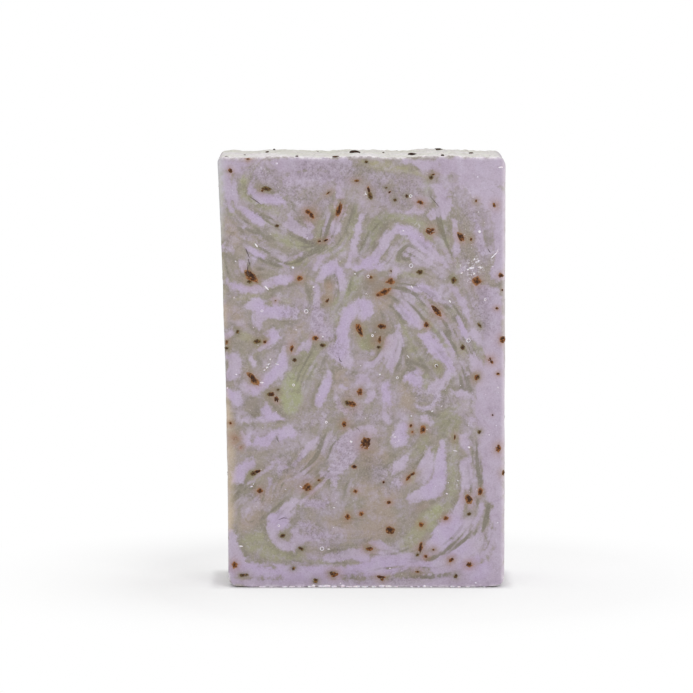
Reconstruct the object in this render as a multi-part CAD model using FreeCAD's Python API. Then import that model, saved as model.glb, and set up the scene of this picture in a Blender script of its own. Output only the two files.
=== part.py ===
"""Bar of handmade soap, cut from a tall loaf, with dried herb flecks set in it.

The bar stands on its narrow base with its cut face to -Y. X runs to the right
as seen from the front and +Z is up. The origin is the middle of the base, under
the middle of the bar's box. All sizes are in millimetres.

Its outline is the loaf's section: a flat base, an upright right wall, a left
wall that leans out towards a lip, and a poured top with a low ripple. Front and
back are flat cuts. The flecks are chips of dried herb, cut flush with the faces
that they show on, and a few round buds stand proud of the poured top.
"""
import FreeCAD
import Part
import math
import os

Vector = FreeCAD.Vector

# The bar
WIDTH = 59.0  # from the lip of the left wall to the right wall
HEIGHT = 89.0  # from the base to the mean level of the poured top
THICKNESS = 25.0  # from the front cut to the back cut
WALL_LEAN = 2.1  # how far the left wall's lip stands out past its foot
BASE_CORNER_RADIUS = 2.0
TOP_CORNER_RADIUS = 1.4
EDGE_RADIUS = 0.7  # round the front and back cuts

# The poured top's ripple: arcs that swell and sink by turns between these places,
# given as shares of the width from the left, and all meet at the same slope
RIPPLE_PLACES = (0.0, 0.16, 0.27, 0.43, 0.56, 0.68, 0.86, 1.0)
RIPPLE_SLOPE = 0.075

# Flecks on the front cut: across from the middle, up from the base, length, width,
# and the tilt in degrees from level. Places are read on a face of the size below
# and move with the bar's own width and height.
READ_WIDTH = 59.0
READ_HEIGHT = 89.0
FLECK_UNIT = 1.0  # the millimetre that the tables of flecks and buds are written in
FRONT_FLECKS = (
    (-26.8, 86.1, 0.9, 0.7, 90),
    (-19.6, 82.4, 1.9, 1.1, -15),
    (-10.5, 77.3, 2.1, 1.0, -52),
    (-4.6, 78.0, 2.8, 0.9, 72),
    (1.7, 81.3, 2.3, 1.0, -72),
    (14.3, 84.8, 0.9, 0.8, 30),
    (12.1, 79.5, 1.5, 0.8, -20),
    (14.2, 73.7, 1.8, 1.5, 10),
    (20.4, 72.5, 2.0, 0.9, -57),
    (27.2, 79.1, 0.9, 0.6, -70),
    (-22.3, 64.3, 2.8, 1.2, -45),
    (-12.7, 64.0, 1.2, 1.1, 0),
    (5.9, 63.3, 1.5, 1.0, 10),
    (4.5, 61.0, 2.8, 0.8, 24),
    (23.7, 63.4, 1.5, 1.3, 0),
    (28.2, 64.6, 0.9, 0.8, 0),
    (15.6, 57.2, 2.6, 1.0, -48),
    (13.4, 54.4, 1.0, 0.9, 90),
    (4.2, 54.1, 1.6, 1.0, -5),
    (-0.4, 53.4, 2.2, 1.0, -72),
    (24.3, 54.3, 1.2, 0.7, -48),
    (28.2, 51.5, 1.1, 1.0, 90),
    (-9.4, 51.7, 1.1, 0.8, 0),
    (-14.3, 49.5, 1.4, 0.8, 85),
    (-13.7, 47.2, 1.1, 0.9, -10),
    (26.6, 47.1, 1.7, 1.3, -40),
    (23.9, 43.7, 1.1, 0.8, 80),
    (-22.1, 43.3, 2.8, 1.0, -52),
    (-18.3, 40.1, 1.2, 1.0, 20),
    (-17.3, 39.1, 1.4, 0.9, -75),
    (-2.5, 38.3, 2.3, 1.2, -18),
    (12.7, 32.8, 1.4, 0.9, 80),
    (-26.0, 31.0, 1.3, 1.1, 0),
    (0.8, 29.8, 2.6, 2.0, 70),
    (28.2, 29.1, 1.3, 1.0, 80),
    (-21.6, 24.1, 1.6, 0.9, 5),
    (9.9, 23.0, 2.0, 0.9, 48),
    (-11.1, 20.8, 1.7, 1.4, 0),
    (-20.9, 20.1, 1.1, 1.0, 0),
    (24.5, 19.9, 1.3, 0.8, 75),
    (22.1, 18.4, 1.7, 1.1, -80),
    (-2.8, 14.7, 1.1, 1.0, 70),
    (17.4, 14.5, 1.1, 0.8, 30),
    (5.9, 11.9, 1.8, 1.3, -40),
    (12.0, 8.0, 2.3, 1.0, 75),
    (1.8, 8.1, 2.0, 1.0, 0),
    (22.3, 4.8, 1.1, 1.0, 0),
    (-5.8, 2.9, 1.8, 1.3, 0),
)

# Flecks on the faces that are not the front: how many, and the range of their sizes
BACK_FLECK_COUNT = 24
SIDE_FLECK_COUNT = 8
BASE_FLECK_COUNT = 5
BACK_SCATTER_START = 3  # where each face joins the scatter, so that no two look alike
RIGHT_SCATTER_START = 50
LEFT_SCATTER_START = 71
BASE_SCATTER_START = 90
FLECK_LENGTHS = (1.1, 2.6)
FLECK_SLIMNESS = (0.4, 0.85)  # width as a share of length
FACE_MARGIN = 2.5  # clear of a face's border

# Every fleck has an uneven, eight-sided outline: the shares of its size, corner by corner
OUTLINE_RADII = (1.0, 0.86, 1.04, 0.8, 0.98, 0.9, 1.06, 0.82)

# A chip narrows into the soap
CHIP_DEPTH_SHARE = 0.7  # of its width
CHIP_FOOT_SHARE = 0.6  # its inner end against its outline on the face

# Buds that stand proud of the poured top: across, share of the thickness from the
# front, length, width and the turn in degrees from the X axis
TOP_BUDS = (
    (-1.4, 0.40, 2.6, 1.2, 8),
    (10.5, 0.30, 2.2, 0.9, -30),
    (16.3, 0.80, 1.8, 0.8, 12),
    (-19.5, 0.62, 1.9, 0.9, 40),
    (22.8, 0.55, 1.3, 0.7, -15),
)
BUD_SUNK_SHARE = 0.35  # of a bud's radius that its middle lies below the top

# A bud's rings from its lowest to its highest: share of its radius up, share of its outline
BUD_RINGS = ((-1.0, 0.4), (-0.5, 0.85), (0.05, 1.0), (0.55, 0.84), (1.0, 0.35))

# Steps of an even scatter over the unit square, from the plastic number
SCATTER_ACROSS = 0.7549
SCATTER_UP = 0.5698
GOLDEN_TURN = 137.5  # degrees


def ripple_arcs():
    """Each arc of the poured top: its left end, its right end and its rise, which may sink."""
    arcs = []
    for i, (start, end) in enumerate(zip(RIPPLE_PLACES, RIPPLE_PLACES[1:])):
        left = (start - 0.5) * WIDTH
        right = (end - 0.5) * WIDTH
        rise = RIPPLE_SLOPE * (right - left) / 4
        arcs.append((left, right, rise if i % 2 else -rise))
    return arcs


def top_level(x):
    """Height of the poured top above the base."""
    for left, right, rise in ripple_arcs():
        if x <= right:
            from_middle = (2 * x - left - right) / (right - left)
            return HEIGHT + rise * (1 - from_middle ** 2)
    return HEIGHT


def left_wall(z):
    """How far left the left wall stands at a height: upright at its foot, out at its lip."""
    return WALL_LEAN - WIDTH / 2 - WALL_LEAN * (z / HEIGHT) ** 2


def section_face():
    """The loaf's section at the front cut, with sharp corners."""
    y = -THICKNESS / 2
    base_left = Vector(left_wall(0), y, 0)
    base_right = Vector(WIDTH / 2, y, 0)
    top_right = Vector(WIDTH / 2, y, HEIGHT)
    top_left = Vector(left_wall(HEIGHT), y, HEIGHT)
    left_middle = Vector(left_wall(HEIGHT / 2), y, HEIGHT / 2)
    edges = [
        Part.makeLine(base_left, base_right),
        Part.makeLine(base_right, top_right),
        Part.Arc(top_left, left_middle, base_left).toShape(),
    ]
    for left, right, rise in ripple_arcs():
        middle = Vector((left + right) / 2, y, HEIGHT + rise)
        edges.append(Part.Arc(Vector(left, y, HEIGHT), middle, Vector(right, y, HEIGHT)).toShape())
    return Part.Face(Part.Wire(Part.__sortEdges__(edges)))


def corner_edges(bar, at_top):
    """The edges that run from cut to cut, at the poured top or at the base."""
    return [
        edge for edge in bar.Edges
        if abs(edge.Vertexes[0].Y - edge.Vertexes[-1].Y) > THICKNESS / 2
        and (edge.CenterOfMass.z > HEIGHT / 2) == at_top
    ]


def border_edges(bar, cut_y):
    """The edges round one cut."""
    return [edge for edge in bar.Edges if all(abs(end.Y - cut_y) < 1e-4 for end in edge.Vertexes)]


def soap_blank():
    """The bar with its edges rounded, before the flecks' seats are cut."""
    bar = section_face().extrude(Vector(0, THICKNESS, 0))
    bar = bar.makeFillet(BASE_CORNER_RADIUS, corner_edges(bar, at_top=False))
    bar = bar.makeFillet(TOP_CORNER_RADIUS, corner_edges(bar, at_top=True))
    for cut_y in (-THICKNESS / 2, THICKNESS / 2):
        bar = bar.makeFillet(EDGE_RADIUS, border_edges(bar, cut_y))
    return bar


def closed_polygon(corners):
    return Part.Face(Part.makePolygon(list(corners) + [corners[0]]))


def uneven_solid(length, width, rings, first_radius):
    """A fleck along X, built up of rings: each one's height and its share of the outline."""
    count = len(OUTLINE_RADII)
    layers = []
    for height, share in rings:
        corners = []
        for k in range(count):
            angle = 2 * math.pi * k / count
            reach = share * OUTLINE_RADII[(k + first_radius) % count] / 2
            across = reach * length * math.cos(angle)
            corners.append(Vector(across, reach * width * math.sin(angle), height))
        layers.append(corners)
    faces = [closed_polygon(layers[0]), closed_polygon(layers[-1])]
    for lower, upper in zip(layers, layers[1:]):
        for k in range(count):
            following = (k + 1) % count
            faces.append(closed_polygon([lower[k], lower[following], upper[following], upper[k]]))
    return Part.Solid(Part.Shell(faces))


def chip(length, width, first_radius):
    """A flat fleck with its given size at Z = 0, standing above that to be cut flush."""
    depth = CHIP_DEPTH_SHARE * width
    spare = width
    outer_share = 1 + (1 - CHIP_FOOT_SHARE) * spare / depth
    rings = ((-depth, CHIP_FOOT_SHARE), (spare, outer_share))
    return uneven_solid(length, width, rings, first_radius)


def bud(length, width, first_radius):
    """A round bud, about its middle."""
    rings = [(up * width / 2, share) for up, share in BUD_RINGS]
    return uneven_solid(length, width, rings, first_radius)


def placed(fleck, turn, normal, place):
    """A fleck turned in the plane of a face with this normal, and moved to its place."""
    to_face = FreeCAD.Rotation(Vector(0, 0, 1), normal)
    in_plane = FreeCAD.Rotation(Vector(0, 0, 1), turn)
    fleck.Placement = FreeCAD.Placement(place, to_face.multiply(in_plane))
    return fleck


def across_at(x):
    """A place across the bar, from a place across the face that was read."""
    return x * FLECK_UNIT * WIDTH / READ_WIDTH


def front_flecks():
    flecks = []
    for i, (x, z, length, width, tilt) in enumerate(FRONT_FLECKS):
        place = Vector(across_at(x), -THICKNESS / 2, z * FLECK_UNIT * HEIGHT / READ_HEIGHT)
        fleck = chip(length * FLECK_UNIT, width * FLECK_UNIT, i)
        flecks.append(placed(fleck, tilt, Vector(0, -1, 0), place))
    return flecks


def scattered_flecks(count, start, normal, place_at):
    """Flecks in an even scatter over one face; place_at turns two shares into a place."""
    flecks = []
    short, long = FLECK_LENGTHS
    slim, stout = FLECK_SLIMNESS
    for i in range(start, start + count):
        across = (i * SCATTER_ACROSS) % 1
        up = (i * SCATTER_UP) % 1
        size = (i * (SCATTER_ACROSS + SCATTER_UP)) % 1
        length = short + (long - short) * size ** 2
        width = length * (slim + (stout - slim) * up)
        turn = (i * GOLDEN_TURN) % 180
        flecks.append(placed(chip(length, width, i), turn, normal, place_at(across, up)))
    return flecks


def between(low, high, share):
    """A value between two limits, kept clear of both by the margin of a face."""
    return low + FACE_MARGIN + share * (high - low - 2 * FACE_MARGIN)


def hidden_face_flecks():
    """Flecks on the back, the two walls and the base, which the front view does not show."""
    foot = left_wall(0)
    right = WIDTH / 2
    back = THICKNESS / 2

    def on_back(across, up):
        return Vector(between(foot, right, across), back, between(0, HEIGHT, up))

    def on_right_wall(across, up):
        return Vector(right, between(-back, back, across), between(0, HEIGHT, up))

    def on_left_wall(across, up):
        z = between(0, HEIGHT, up)
        return Vector(left_wall(z), between(-back, back, across), z)

    def on_base(across, up):
        return Vector(between(foot, right, across), between(-back, back, up), 0)

    return (
        scattered_flecks(BACK_FLECK_COUNT, BACK_SCATTER_START, Vector(0, 1, 0), on_back)
        + scattered_flecks(SIDE_FLECK_COUNT, RIGHT_SCATTER_START, Vector(1, 0, 0), on_right_wall)
        + scattered_flecks(SIDE_FLECK_COUNT, LEFT_SCATTER_START, Vector(-1, 0, 0), on_left_wall)
        + scattered_flecks(BASE_FLECK_COUNT, BASE_SCATTER_START, Vector(0, 0, -1), on_base)
    )


def top_buds():
    buds = []
    for i, (x, depth_share, length, width, turn) in enumerate(TOP_BUDS):
        radius = width * FLECK_UNIT / 2
        level = top_level(across_at(x)) - BUD_SUNK_SHARE * radius
        place = Vector(across_at(x), THICKNESS * (depth_share - 0.5), level)
        buds.append(placed(bud(length * FLECK_UNIT, 2 * radius, i), turn, Vector(0, 0, 1), place))
    return buds


def main():
    blank = soap_blank()
    flush = [fleck.common(blank) for fleck in front_flecks() + hidden_face_flecks()]
    flecks = [solid for piece in flush for solid in piece.Solids] + top_buds()
    soap = blank.cut(Part.makeCompound(flecks))
    os.makedirs("parts", exist_ok=True)
    soap.exportStep("parts/soap_bar.step")
    Part.makeCompound(flecks).exportStep("parts/herb_flecks.step")
    print(f"soap_bar: {len(soap.Solids)} solid, {soap.Volume / 1000:.2f} cm3, valid {soap.isValid()}")
    print(f"herb_flecks: {len(flecks)} solids, valid {all(f.isValid() for f in flecks)}")


main()
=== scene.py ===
"""The looks of a bar of handmade soap: swirled soap, herb flecks, crumbs, bubbles and cracks."""
import math

import bpy
import numpy as np
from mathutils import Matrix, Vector


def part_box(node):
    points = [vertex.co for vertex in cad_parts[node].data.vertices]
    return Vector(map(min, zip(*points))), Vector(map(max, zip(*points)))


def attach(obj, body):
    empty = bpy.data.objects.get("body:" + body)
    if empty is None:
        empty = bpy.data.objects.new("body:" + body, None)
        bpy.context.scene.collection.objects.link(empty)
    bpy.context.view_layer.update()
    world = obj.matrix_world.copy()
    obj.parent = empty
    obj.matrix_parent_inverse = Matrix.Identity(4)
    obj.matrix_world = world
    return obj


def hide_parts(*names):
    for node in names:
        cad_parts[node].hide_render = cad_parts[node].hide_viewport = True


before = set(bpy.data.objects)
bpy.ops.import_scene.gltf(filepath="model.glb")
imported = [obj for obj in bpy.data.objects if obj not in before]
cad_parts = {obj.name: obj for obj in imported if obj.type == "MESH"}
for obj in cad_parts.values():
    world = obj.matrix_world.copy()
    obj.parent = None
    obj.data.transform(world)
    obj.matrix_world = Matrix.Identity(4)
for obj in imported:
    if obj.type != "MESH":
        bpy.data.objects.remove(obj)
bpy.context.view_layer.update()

MM = 0.001
HIGH = np.array(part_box("soap_bar")[1]) / MM

# The bar's section, in millimetres, as in the CAD
RIGHT = HIGH[0]
TOP = HIGH[2]
HALF_DEPTH = HIGH[1]
WALL_LEAN = 2.1
RIPPLE_PLACES = (0.0, 0.16, 0.27, 0.43, 0.56, 0.68, 0.86, 1.0)
RIPPLE_SLOPE = 0.075
BASE_RADIUS = 2.0
TOP_RADIUS = 1.4
TOP_RIGHT_RADIUS = 2.0
EDGE_RADIUS = 0.45  # crisper than the solid's, as a knife leaves it
WIDTH = 2 * RIGHT
WIDEST_SWELL = 0.18  # the widest ripple that swells, as a share of the width
MEAN_TOP = TOP - RIPPLE_SLOPE * WIDTH * WIDEST_SWELL / 4

# The mesh of the bar: cells across and up the front, round each edge and along the depth
CELLS_ACROSS = 190
CELLS_UP = 286
EDGE_STEPS = 5
DEPTH_STEPS = 15
BACK_INSET = 0.35

# How far the cut base rises at its two long edges, and over what width and height
BASE_LIFT = 0.3
LIFT_WIDTH = 3.5
LIFT_HEIGHT = 3.0

# Relief of the faces in waves: height and wavelength in millimetres, and seed; the height
# of the knife's marks, how they are drawn out, and how deep a burst bubble is
ALL_OVER_WAVES = ((0.035, 14, 1), (0.012, 2.6, 2))
TOP_WAVES = ((0.10, 5, 4), (0.07, 1.7, 5), (0.04, 0.9, 6))
BASE_WAVES = ((0.05, 1.6, 7),)
CHALK_WAVES = ((0.05, 0.9, 8), (0.03, 0.5, 9))
KNIFE_HEIGHT = 0.012
KNIFE_STRETCH = (1, 1, 3)
BUBBLE_DEPTH = 0.12
RELIEF_REACH = 1.2  # how far the waves of the top and the base reach down and up the sides

# How far the swirl drifts from its place on the front, at the front and from there to the back
FRONT_DRIFT = 0.18
DEPTH_DRIFT = 5.0
BESIDE_REACH = 3.0  # how near a wall the swirl begins to turn round its edge
SWAY_X = ((0.7, 26, 21), (0.3, 9, 22))
SWAY_Z = ((0.7, 24, 23), (0.3, 8, 24))

# How sharply each kind of stroke ends, in millimetres
GREEN_BLUR = 0.55
CHALK_BLUR = 0.5
EDGE_HIGHLIGHT_BLUR = 0.8
CREAM_BLUR = 1.1
WARM_BLUR = 1.2
PURE_BLUR = 1.2
COOL_BLUR = 1.3
SHADE_BLUR = 1.4
GRAINY_BLUR = 1.4
VEIL_BLUR = 1.6
STREAKY_BLUR = 2.0

# Streaks along the swirl: grain, reach and seed; and the lower left corner and the size
# of the field of speckle that they smear
FINE_STREAKS = (0.42, 3.0, 31)
BROAD_STREAKS = (1.0, 5.0, 32)
SPECKLE_ORIGIN = (-40.0, -5.0)
SPECKLE_SIZE = (80, 100)

# The front's border: how strong the wear and painted highlight of its rim are along the side walls, how soon
# the painted light in the edges fades with depth, and how high and how dark the painted shadow line along the
# foot is
SIDE_RIM_HIGHLIGHT = 0.25
FRONT_FADE = 14
FOOT_SHADOW_HEIGHT = 0.14
FOOT_SHADOW_STRENGTH = 1.6

# How far below the poured top its pale ash reaches
ASH_DEPTH = 0.9

# Places on the front are millimetres across from the middle and up from the base.
# A stroke is a line of points, each with its half width there.
LAVENDER = (
    ((-23, 21.4, 0.3), (-20.6, 23.6, 0.6), (-18, 25.8, 0.5), (-16.4, 27, 0.2)),
    ((-12.6, 17.6, 0.3), (-10.6, 19.4, 0.5), (-8.6, 21.2, 0.4), (-6.4, 24, 0.3)),
    ((-28.3, 87.4, 1.0), (-26, 86.9, 1.4), (-24, 87.6, 0.9)),
    ((-27.6, 84.6, 1.3), (-27, 82, 1.3), (-26.6, 79.6, 1.3), (-26.4, 78, 0.9)),
    ((-22.8, 83.6, 0.6), (-22.6, 81.8, 0.9), (-21.3, 80.6, 1.1), (-19, 80.3, 1.4), (-17, 80, 1.4),
     (-15.8, 79, 0.9)),
    ((-18, 87.6, 0.9), (-15.5, 87, 1.5), (-12, 87.2, 1.6), (-9, 87.4, 1.8), (-6, 87, 1.6), (-3, 87.3, 1.0)),
    ((-15.6, 84, 1.2), (-13.6, 84.8, 1.3), (-10, 84.8, 1.2), (-7, 84.8, 1.3), (-5, 84.8, 1.0)),
    ((-5, 86, 1.1), (-4.8, 83.5, 0.8), (-4.7, 81, 0.8)),
    ((-24.9, 78.3, 0.5), (-23.6, 77.8, 0.8), (-22.5, 77.2, 1.1), (-21.3, 76.3, 1.2), (-20.2, 75, 0.7)),
    ((-14.5, 76.8, 0.7), (-14, 75, 1.5), (-12, 73.8, 1.3), (-10.5, 72.8, 0.9)),
    ((-15.2, 75, 0.8), (-12, 74.6, 1.1), (-10.2, 74.6, 0.7)),
    ((-24, 74.7, 0.2), (-22, 73.2, 0.35), (-20, 71.8, 0.35), (-18.4, 71, 0.25)),
    ((-23.8, 72.6, 0.2), (-21.8, 71.2, 0.35), (-19.6, 70.1, 0.3)),
    ((-23.4, 70, 0.6), (-22.6, 69.7, 0.8), (-21.5, 69, 1.1), (-19.8, 68.4, 0.7)),
    ((-24.6, 67.3, 0.7), (-24.2, 66.2, 0.8), (-24.4, 65.5, 0.4)),
    ((-28, 70.3, 0.7), (-26.2, 69.7, 0.5)),
    ((-28, 63.6, 0.4), (-26.6, 62.7, 0.8), (-24.8, 62.1, 0.9), (-22.5, 61.8, 0.7), (-20.4, 61.8, 0.7)),
    ((-20, 62.5, 0.7), (-18.4, 63, 1.0), (-16.4, 63.6, 1.0), (-14.6, 63.9, 0.6)),
    ((-16.2, 67.2, 0.7), (-15.4, 66.3, 0.7)),
    ((-13.8, 68.1, 0.4), (-12.8, 68.8, 0.5), (-12, 69.3, 0.4)),
    ((-9.5, 66.2, 0.6), (-8.8, 67.8, 0.8), (-7.8, 68.7, 0.8), (-6.9, 69.1, 0.5)),
    ((-10.8, 63.4, 0.4), (-9.6, 62.6, 0.7), (-9.2, 61.2, 0.8), (-9.2, 59, 0.9)),
    ((-9, 63.6, 0.7), (-7.6, 65.1, 1.2), (-6.2, 66.8, 1.2), (-5.4, 67.4, 0.6)),
    ((-5.6, 66.6, 1.2), (-4.7, 64.8, 1.2), (-4.1, 63.2, 0.9), (-3.8, 62, 0.5)),
    ((-2.8, 66.6, 0.5), (-1.4, 66.2, 0.6), (0.2, 66.6, 0.9)),
    ((-3.3, 79, 0.4), (-4.6, 76.6, 0.8), (-5.6, 74.4, 0.9), (-6.8, 71.6, 0.5)),
    ((-0.2, 76.8, 0.5), (-0.9, 74, 0.7), (-1.4, 71.6, 0.8), (-2.2, 68.6, 0.8), (-2.8, 66.4, 0.6)),
    ((-5.2, 79.5, 0.25), (-6.6, 76.5, 0.3), (-8.3, 71.4, 0.3)),
    ((16, 88, 1.0), (20, 87, 2.0), (24, 86, 3.0), (28, 86, 3.2)),
    ((21, 84, 1.4), (24.4, 82.4, 2.8), (27.4, 80, 2.6)),
    ((9, 88.2, 0.6), (12.4, 87.4, 1.0), (15.2, 87.1, 1.4), (17.2, 86.2, 1.3)),
    ((15.9, 82.4, 1.2), (17, 80.6, 1.6), (17, 79, 1.7), (16.2, 77.4, 1.5), (14.4, 77, 1.0)),
    ((8.2, 77.6, 0.5), (10, 77.8, 0.6), (11.8, 77.6, 0.8)),
    ((0.5, 67, 1.4), (2, 67.6, 1.4), (3.2, 69, 1.3), (4.4, 71.4, 1.1), (5.6, 73.4, 1.1), (7.5, 74.4, 1.2),
     (9.5, 73.6, 1.3), (11.5, 72, 1.2), (13, 70.5, 1.2), (14.6, 68.9, 1.1), (16.4, 67.5, 0.9),
     (17.8, 66.5, 0.5)),
    ((1.5, 66.4, 0.9), (3.2, 66.5, 0.9), (4.2, 66.6, 0.4)),
    ((9.3, 68.8, 0.6), (10.6, 67.9, 0.8), (12.3, 67, 0.7), (14, 67.2, 0.9)),
    ((18.4, 76.8, 0.5), (18.8, 74, 0.6), (19.3, 71.5, 0.6), (19.3, 69, 0.7), (19.2, 67.6, 0.5)),
    ((23.6, 75.6, 0.7), (24.2, 72.6, 0.9), (24.6, 69.8, 0.8)),
    ((27.8, 77.5, 1.6), (28.2, 73, 1.4), (28.4, 69, 1.2), (28, 65, 1.6)),
    ((6.6, 64.4, 0.7), (7.2, 65.6, 0.5)),
    ((9.8, 61.9, 0.7), (11.6, 62, 1.0), (13.2, 61.6, 1.3), (14.8, 60.4, 1.2), (16.2, 59.5, 0.8),
     (17.1, 58.9, 0.4)),
    ((18.5, 62.6, 0.6), (19.6, 61.2, 0.8), (20.8, 59.2, 0.9), (21.8, 57.2, 0.8), (22.6, 55.2, 0.5)),
    ((-0.6, 59.2, 0.8), (0.6, 58.6, 1.3), (1, 57.2, 1.4), (0.4, 56, 0.9)),
    ((7, 58.3, 0.4), (8.4, 57.7, 0.9), (9.6, 56.5, 1.1), (10.8, 55.1, 1.0), (12, 53.9, 0.6)),
    ((19.7, 55.8, 0.6), (20.4, 54, 1.0), (21.2, 52.8, 1.0), (21.8, 51.8, 0.4)),
    ((17.2, 52.4, 0.4), (18.3, 50.8, 0.6), (19.5, 48.4, 0.6), (20.6, 46, 0.6), (21.4, 44.2, 0.5)),
    ((12.2, 52.4, 0.7), (13.6, 51.6, 1.3), (15, 50, 1.5), (16.4, 48.2, 1.3), (17.6, 46.5, 1.1),
     (18.6, 45, 0.8)),
    ((18.4, 45, 0.8), (17.2, 43.2, 1.0), (16, 42, 1.3), (14.9, 41.1, 1.1), (15.6, 39.8, 0.7),
     (14.8, 38, 0.4)),
    ((9, 42.9, 0.7), (10.3, 43.6, 1.3), (11.3, 42.4, 1.2), (11.1, 41.1, 0.6)),
    ((11.2, 44.8, 0.8), (12.2, 44.6, 0.5)),
    ((7.7, 54.3, 0.3), (7.9, 52.8, 0.7), (7.9, 50.8, 1.0), (7.3, 49, 1.0), (6.6, 47.2, 1.1),
     (6.1, 45.7, 0.8)),
    ((6.3, 52, 0.3), (5.6, 50.6, 0.5), (4.9, 48.8, 0.6), (3.8, 47.2, 0.8), (2.6, 46.4, 0.8), (1.3, 46, 0.6)),
    ((1.4, 48.6, 0.3), (2.8, 48.4, 0.3)),
    ((-28, 52.4, 0.8), (-27, 52.8, 0.8)),
    ((-23.2, 58.6, 0.8), (-21.7, 58.6, 1.3), (-20.9, 57.4, 1.3), (-21.1, 55.8, 1.2), (-21.4, 54.4, 0.7)),
    ((-20, 57, 1.2), (-18, 57.1, 1.3), (-16, 56.8, 1.4), (-14.3, 56.8, 1.1), (-13.2, 57.4, 0.5)),
    ((-18, 59.4, 0.6), (-17.8, 58.2, 0.9)),
    ((-19.2, 52.4, 0.9), (-18, 52.3, 1.2), (-17.4, 51.7, 0.8), (-18.6, 50.9, 0.9), (-19.8, 49.9, 0.7),
     (-20.8, 49.2, 0.4)),
    ((-27.4, 48.2, 0.8), (-26.2, 48, 1.2), (-25.7, 46.4, 1.5), (-26, 44.8, 1.5), (-26.8, 43.8, 0.9)),
    ((-22.4, 47.2, 0.7), (-21.8, 46.2, 0.7)),
    ((-15.8, 49.2, 0.5), (-16, 48, 0.9), (-15.8, 46.6, 1.2), (-16.8, 45.2, 1.3), (-18, 43.8, 1.3),
     (-19.4, 42.4, 1.1),
     (-20.6, 41.2, 0.9), (-21.8, 40.7, 0.9), (-23, 41.4, 0.8), (-23.8, 42.2, 0.5)),
    ((-27.6, 40.8, 0.8), (-26.2, 39.7, 1.3), (-25.2, 38.8, 1.1)),
    ((-19.2, 37.7, 0.5), (-19.3, 36.5, 1.1), (-18.8, 35.6, 1.3), (-17.4, 35.2, 1.0), (-15.9, 34.9, 0.4)),
    ((-20.5, 35.1, 0.7), (-18.4, 35, 0.8)),
    ((-24, 34.7, 0.5), (-23.2, 34.7, 0.6)),
    ((-9.2, 59, 0.8), (-9.1, 56.8, 1.2), (-9, 54.6, 1.4), (-8.4, 53.2, 1.4), (-7.4, 52.4, 1.1)),
    ((-10.8, 49.2, 0.5), (-10.6, 50.6, 0.4), (-10.4, 52, 0.4)),
    ((-13.9, 48.4, 0.3), (-12.9, 49.3, 0.5), (-12.2, 50.3, 0.5)),
    ((-0.3, 59.2, 0.8), (-1.4, 58, 1.2), (-2.6, 56.6, 1.3), (-3.6, 54.6, 1.3), (-3.9, 52.6, 1.3),
     (-4, 50.6, 1.6),
     (-4.4, 48.8, 1.9), (-3.6, 47.2, 1.6), (-2.2, 46.2, 1.1), (-0.8, 46, 0.5)),
    ((-6.4, 50, 0.7), (-5.6, 49, 0.9)),
    ((-6.4, 44.4, 0.5), (-6.8, 42.8, 0.8), (-7.4, 41.2, 0.95), (-8.2, 39.6, 0.9), (-8.8, 38.4, 0.8)),
    ((-0.6, 42.8, 0.8), (0.6, 43.5, 1.1), (1.8, 42.8, 0.8)),
    ((-3.9, 41.8, 0.3), (-2.8, 41.3, 0.25)),
    ((-4.8, 39.2, 0.5), (-4.4, 37.6, 0.9), (-3, 36.5, 0.6)),
    ((5.5, 42.8, 0.5), (5, 41.2, 1.2), (5.1, 39.4, 1.2), (5.8, 38, 0.7)),
    ((2.6, 40.6, 0.6), (2, 39.6, 1.0), (1.2, 38.5, 0.5)),
    ((4.3, 36.6, 0.7), (4.8, 35.5, 0.9), (5.4, 34.4, 0.5)),
    ((11.6, 37.3, 0.2), (13.2, 37.4, 0.25), (14.6, 36.9, 0.25)),
    ((13, 35.2, 0.8), (13.8, 34.4, 0.6)),
    ((18.7, 40.5, 0.5), (19.9, 40.2, 0.8), (21.2, 40.3, 0.8)),
    ((22.7, 34.9, 0.8), (24, 34.1, 0.9)),
    ((24.6, 61.8, 1.2), (26.6, 60, 2.2), (27, 56.5, 2.2), (26.6, 53, 2.2), (27.2, 49.5, 2.2), (27.4, 46, 2.2),
     (26.6, 42.5, 3.0), (26.4, 38, 3.4), (26.8, 34, 3.2), (27.2, 30, 2.6), (26.9, 26, 2.3), (27, 22, 2.3),
     (27.5, 18, 1.9), (28.2, 13, 1.3), (28, 8, 1.6), (27.4, 4.6, 2.0)),
    ((23.8, 59.2, 0.8), (24, 57.8, 0.8)),
    ((23.2, 52.6, 0.9), (24.4, 51.9, 1.0)),
    ((22.6, 47.8, 0.8), (23.8, 46.2, 1.3), (24.6, 44.4, 1.4)),
    ((-24.6, 31.7, 0.6), (-23.5, 31, 1.1), (-23, 29.9, 0.8)),
    ((-21.3, 30.2, 1.2), (-20, 30.3, 1.4), (-18.4, 30.9, 1.4), (-16.8, 31.7, 1.5), (-15.2, 32.2, 1.4),
     (-13.7, 31.7, 0.9)),
    ((-9.6, 31.4, 0.5), (-9.8, 30.4, 0.7), (-10.8, 29.2, 0.9), (-12, 27.9, 0.8), (-12.9, 26.8, 0.6),
     (-13.8, 26.2, 0.6)),
    ((-17.6, 26.8, 0.4), (-16.6, 25.6, 0.7), (-15.6, 25.2, 0.7), (-16.9, 24.3, 0.6)),
    ((-22.2, 26.1, 0.7), (-23.2, 25.3, 1.2), (-24.6, 24.4, 1.5), (-25.3, 23, 1.3), (-26.1, 22.2, 0.9)),
    ((-18.9, 22.4, 0.6), (-18.9, 20.8, 0.5)),
    ((-4.6, 30.2, 1.0), (-3, 30.8, 1.4), (-1.5, 31.5, 1.3), (-0.5, 32.5, 0.8)),
    ((-4.2, 28.6, 1.2), (-2.4, 28.8, 1.6), (-0.9, 29, 1.2)),
    ((-2.4, 27.2, 1.4), (-3.8, 25.8, 1.5), (-5.2, 24.4, 1.4), (-6.4, 23.3, 1.2), (-7.8, 23.2, 0.9)),
    ((-5.6, 23, 1.0), (-5.4, 21.6, 0.7)),
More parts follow.
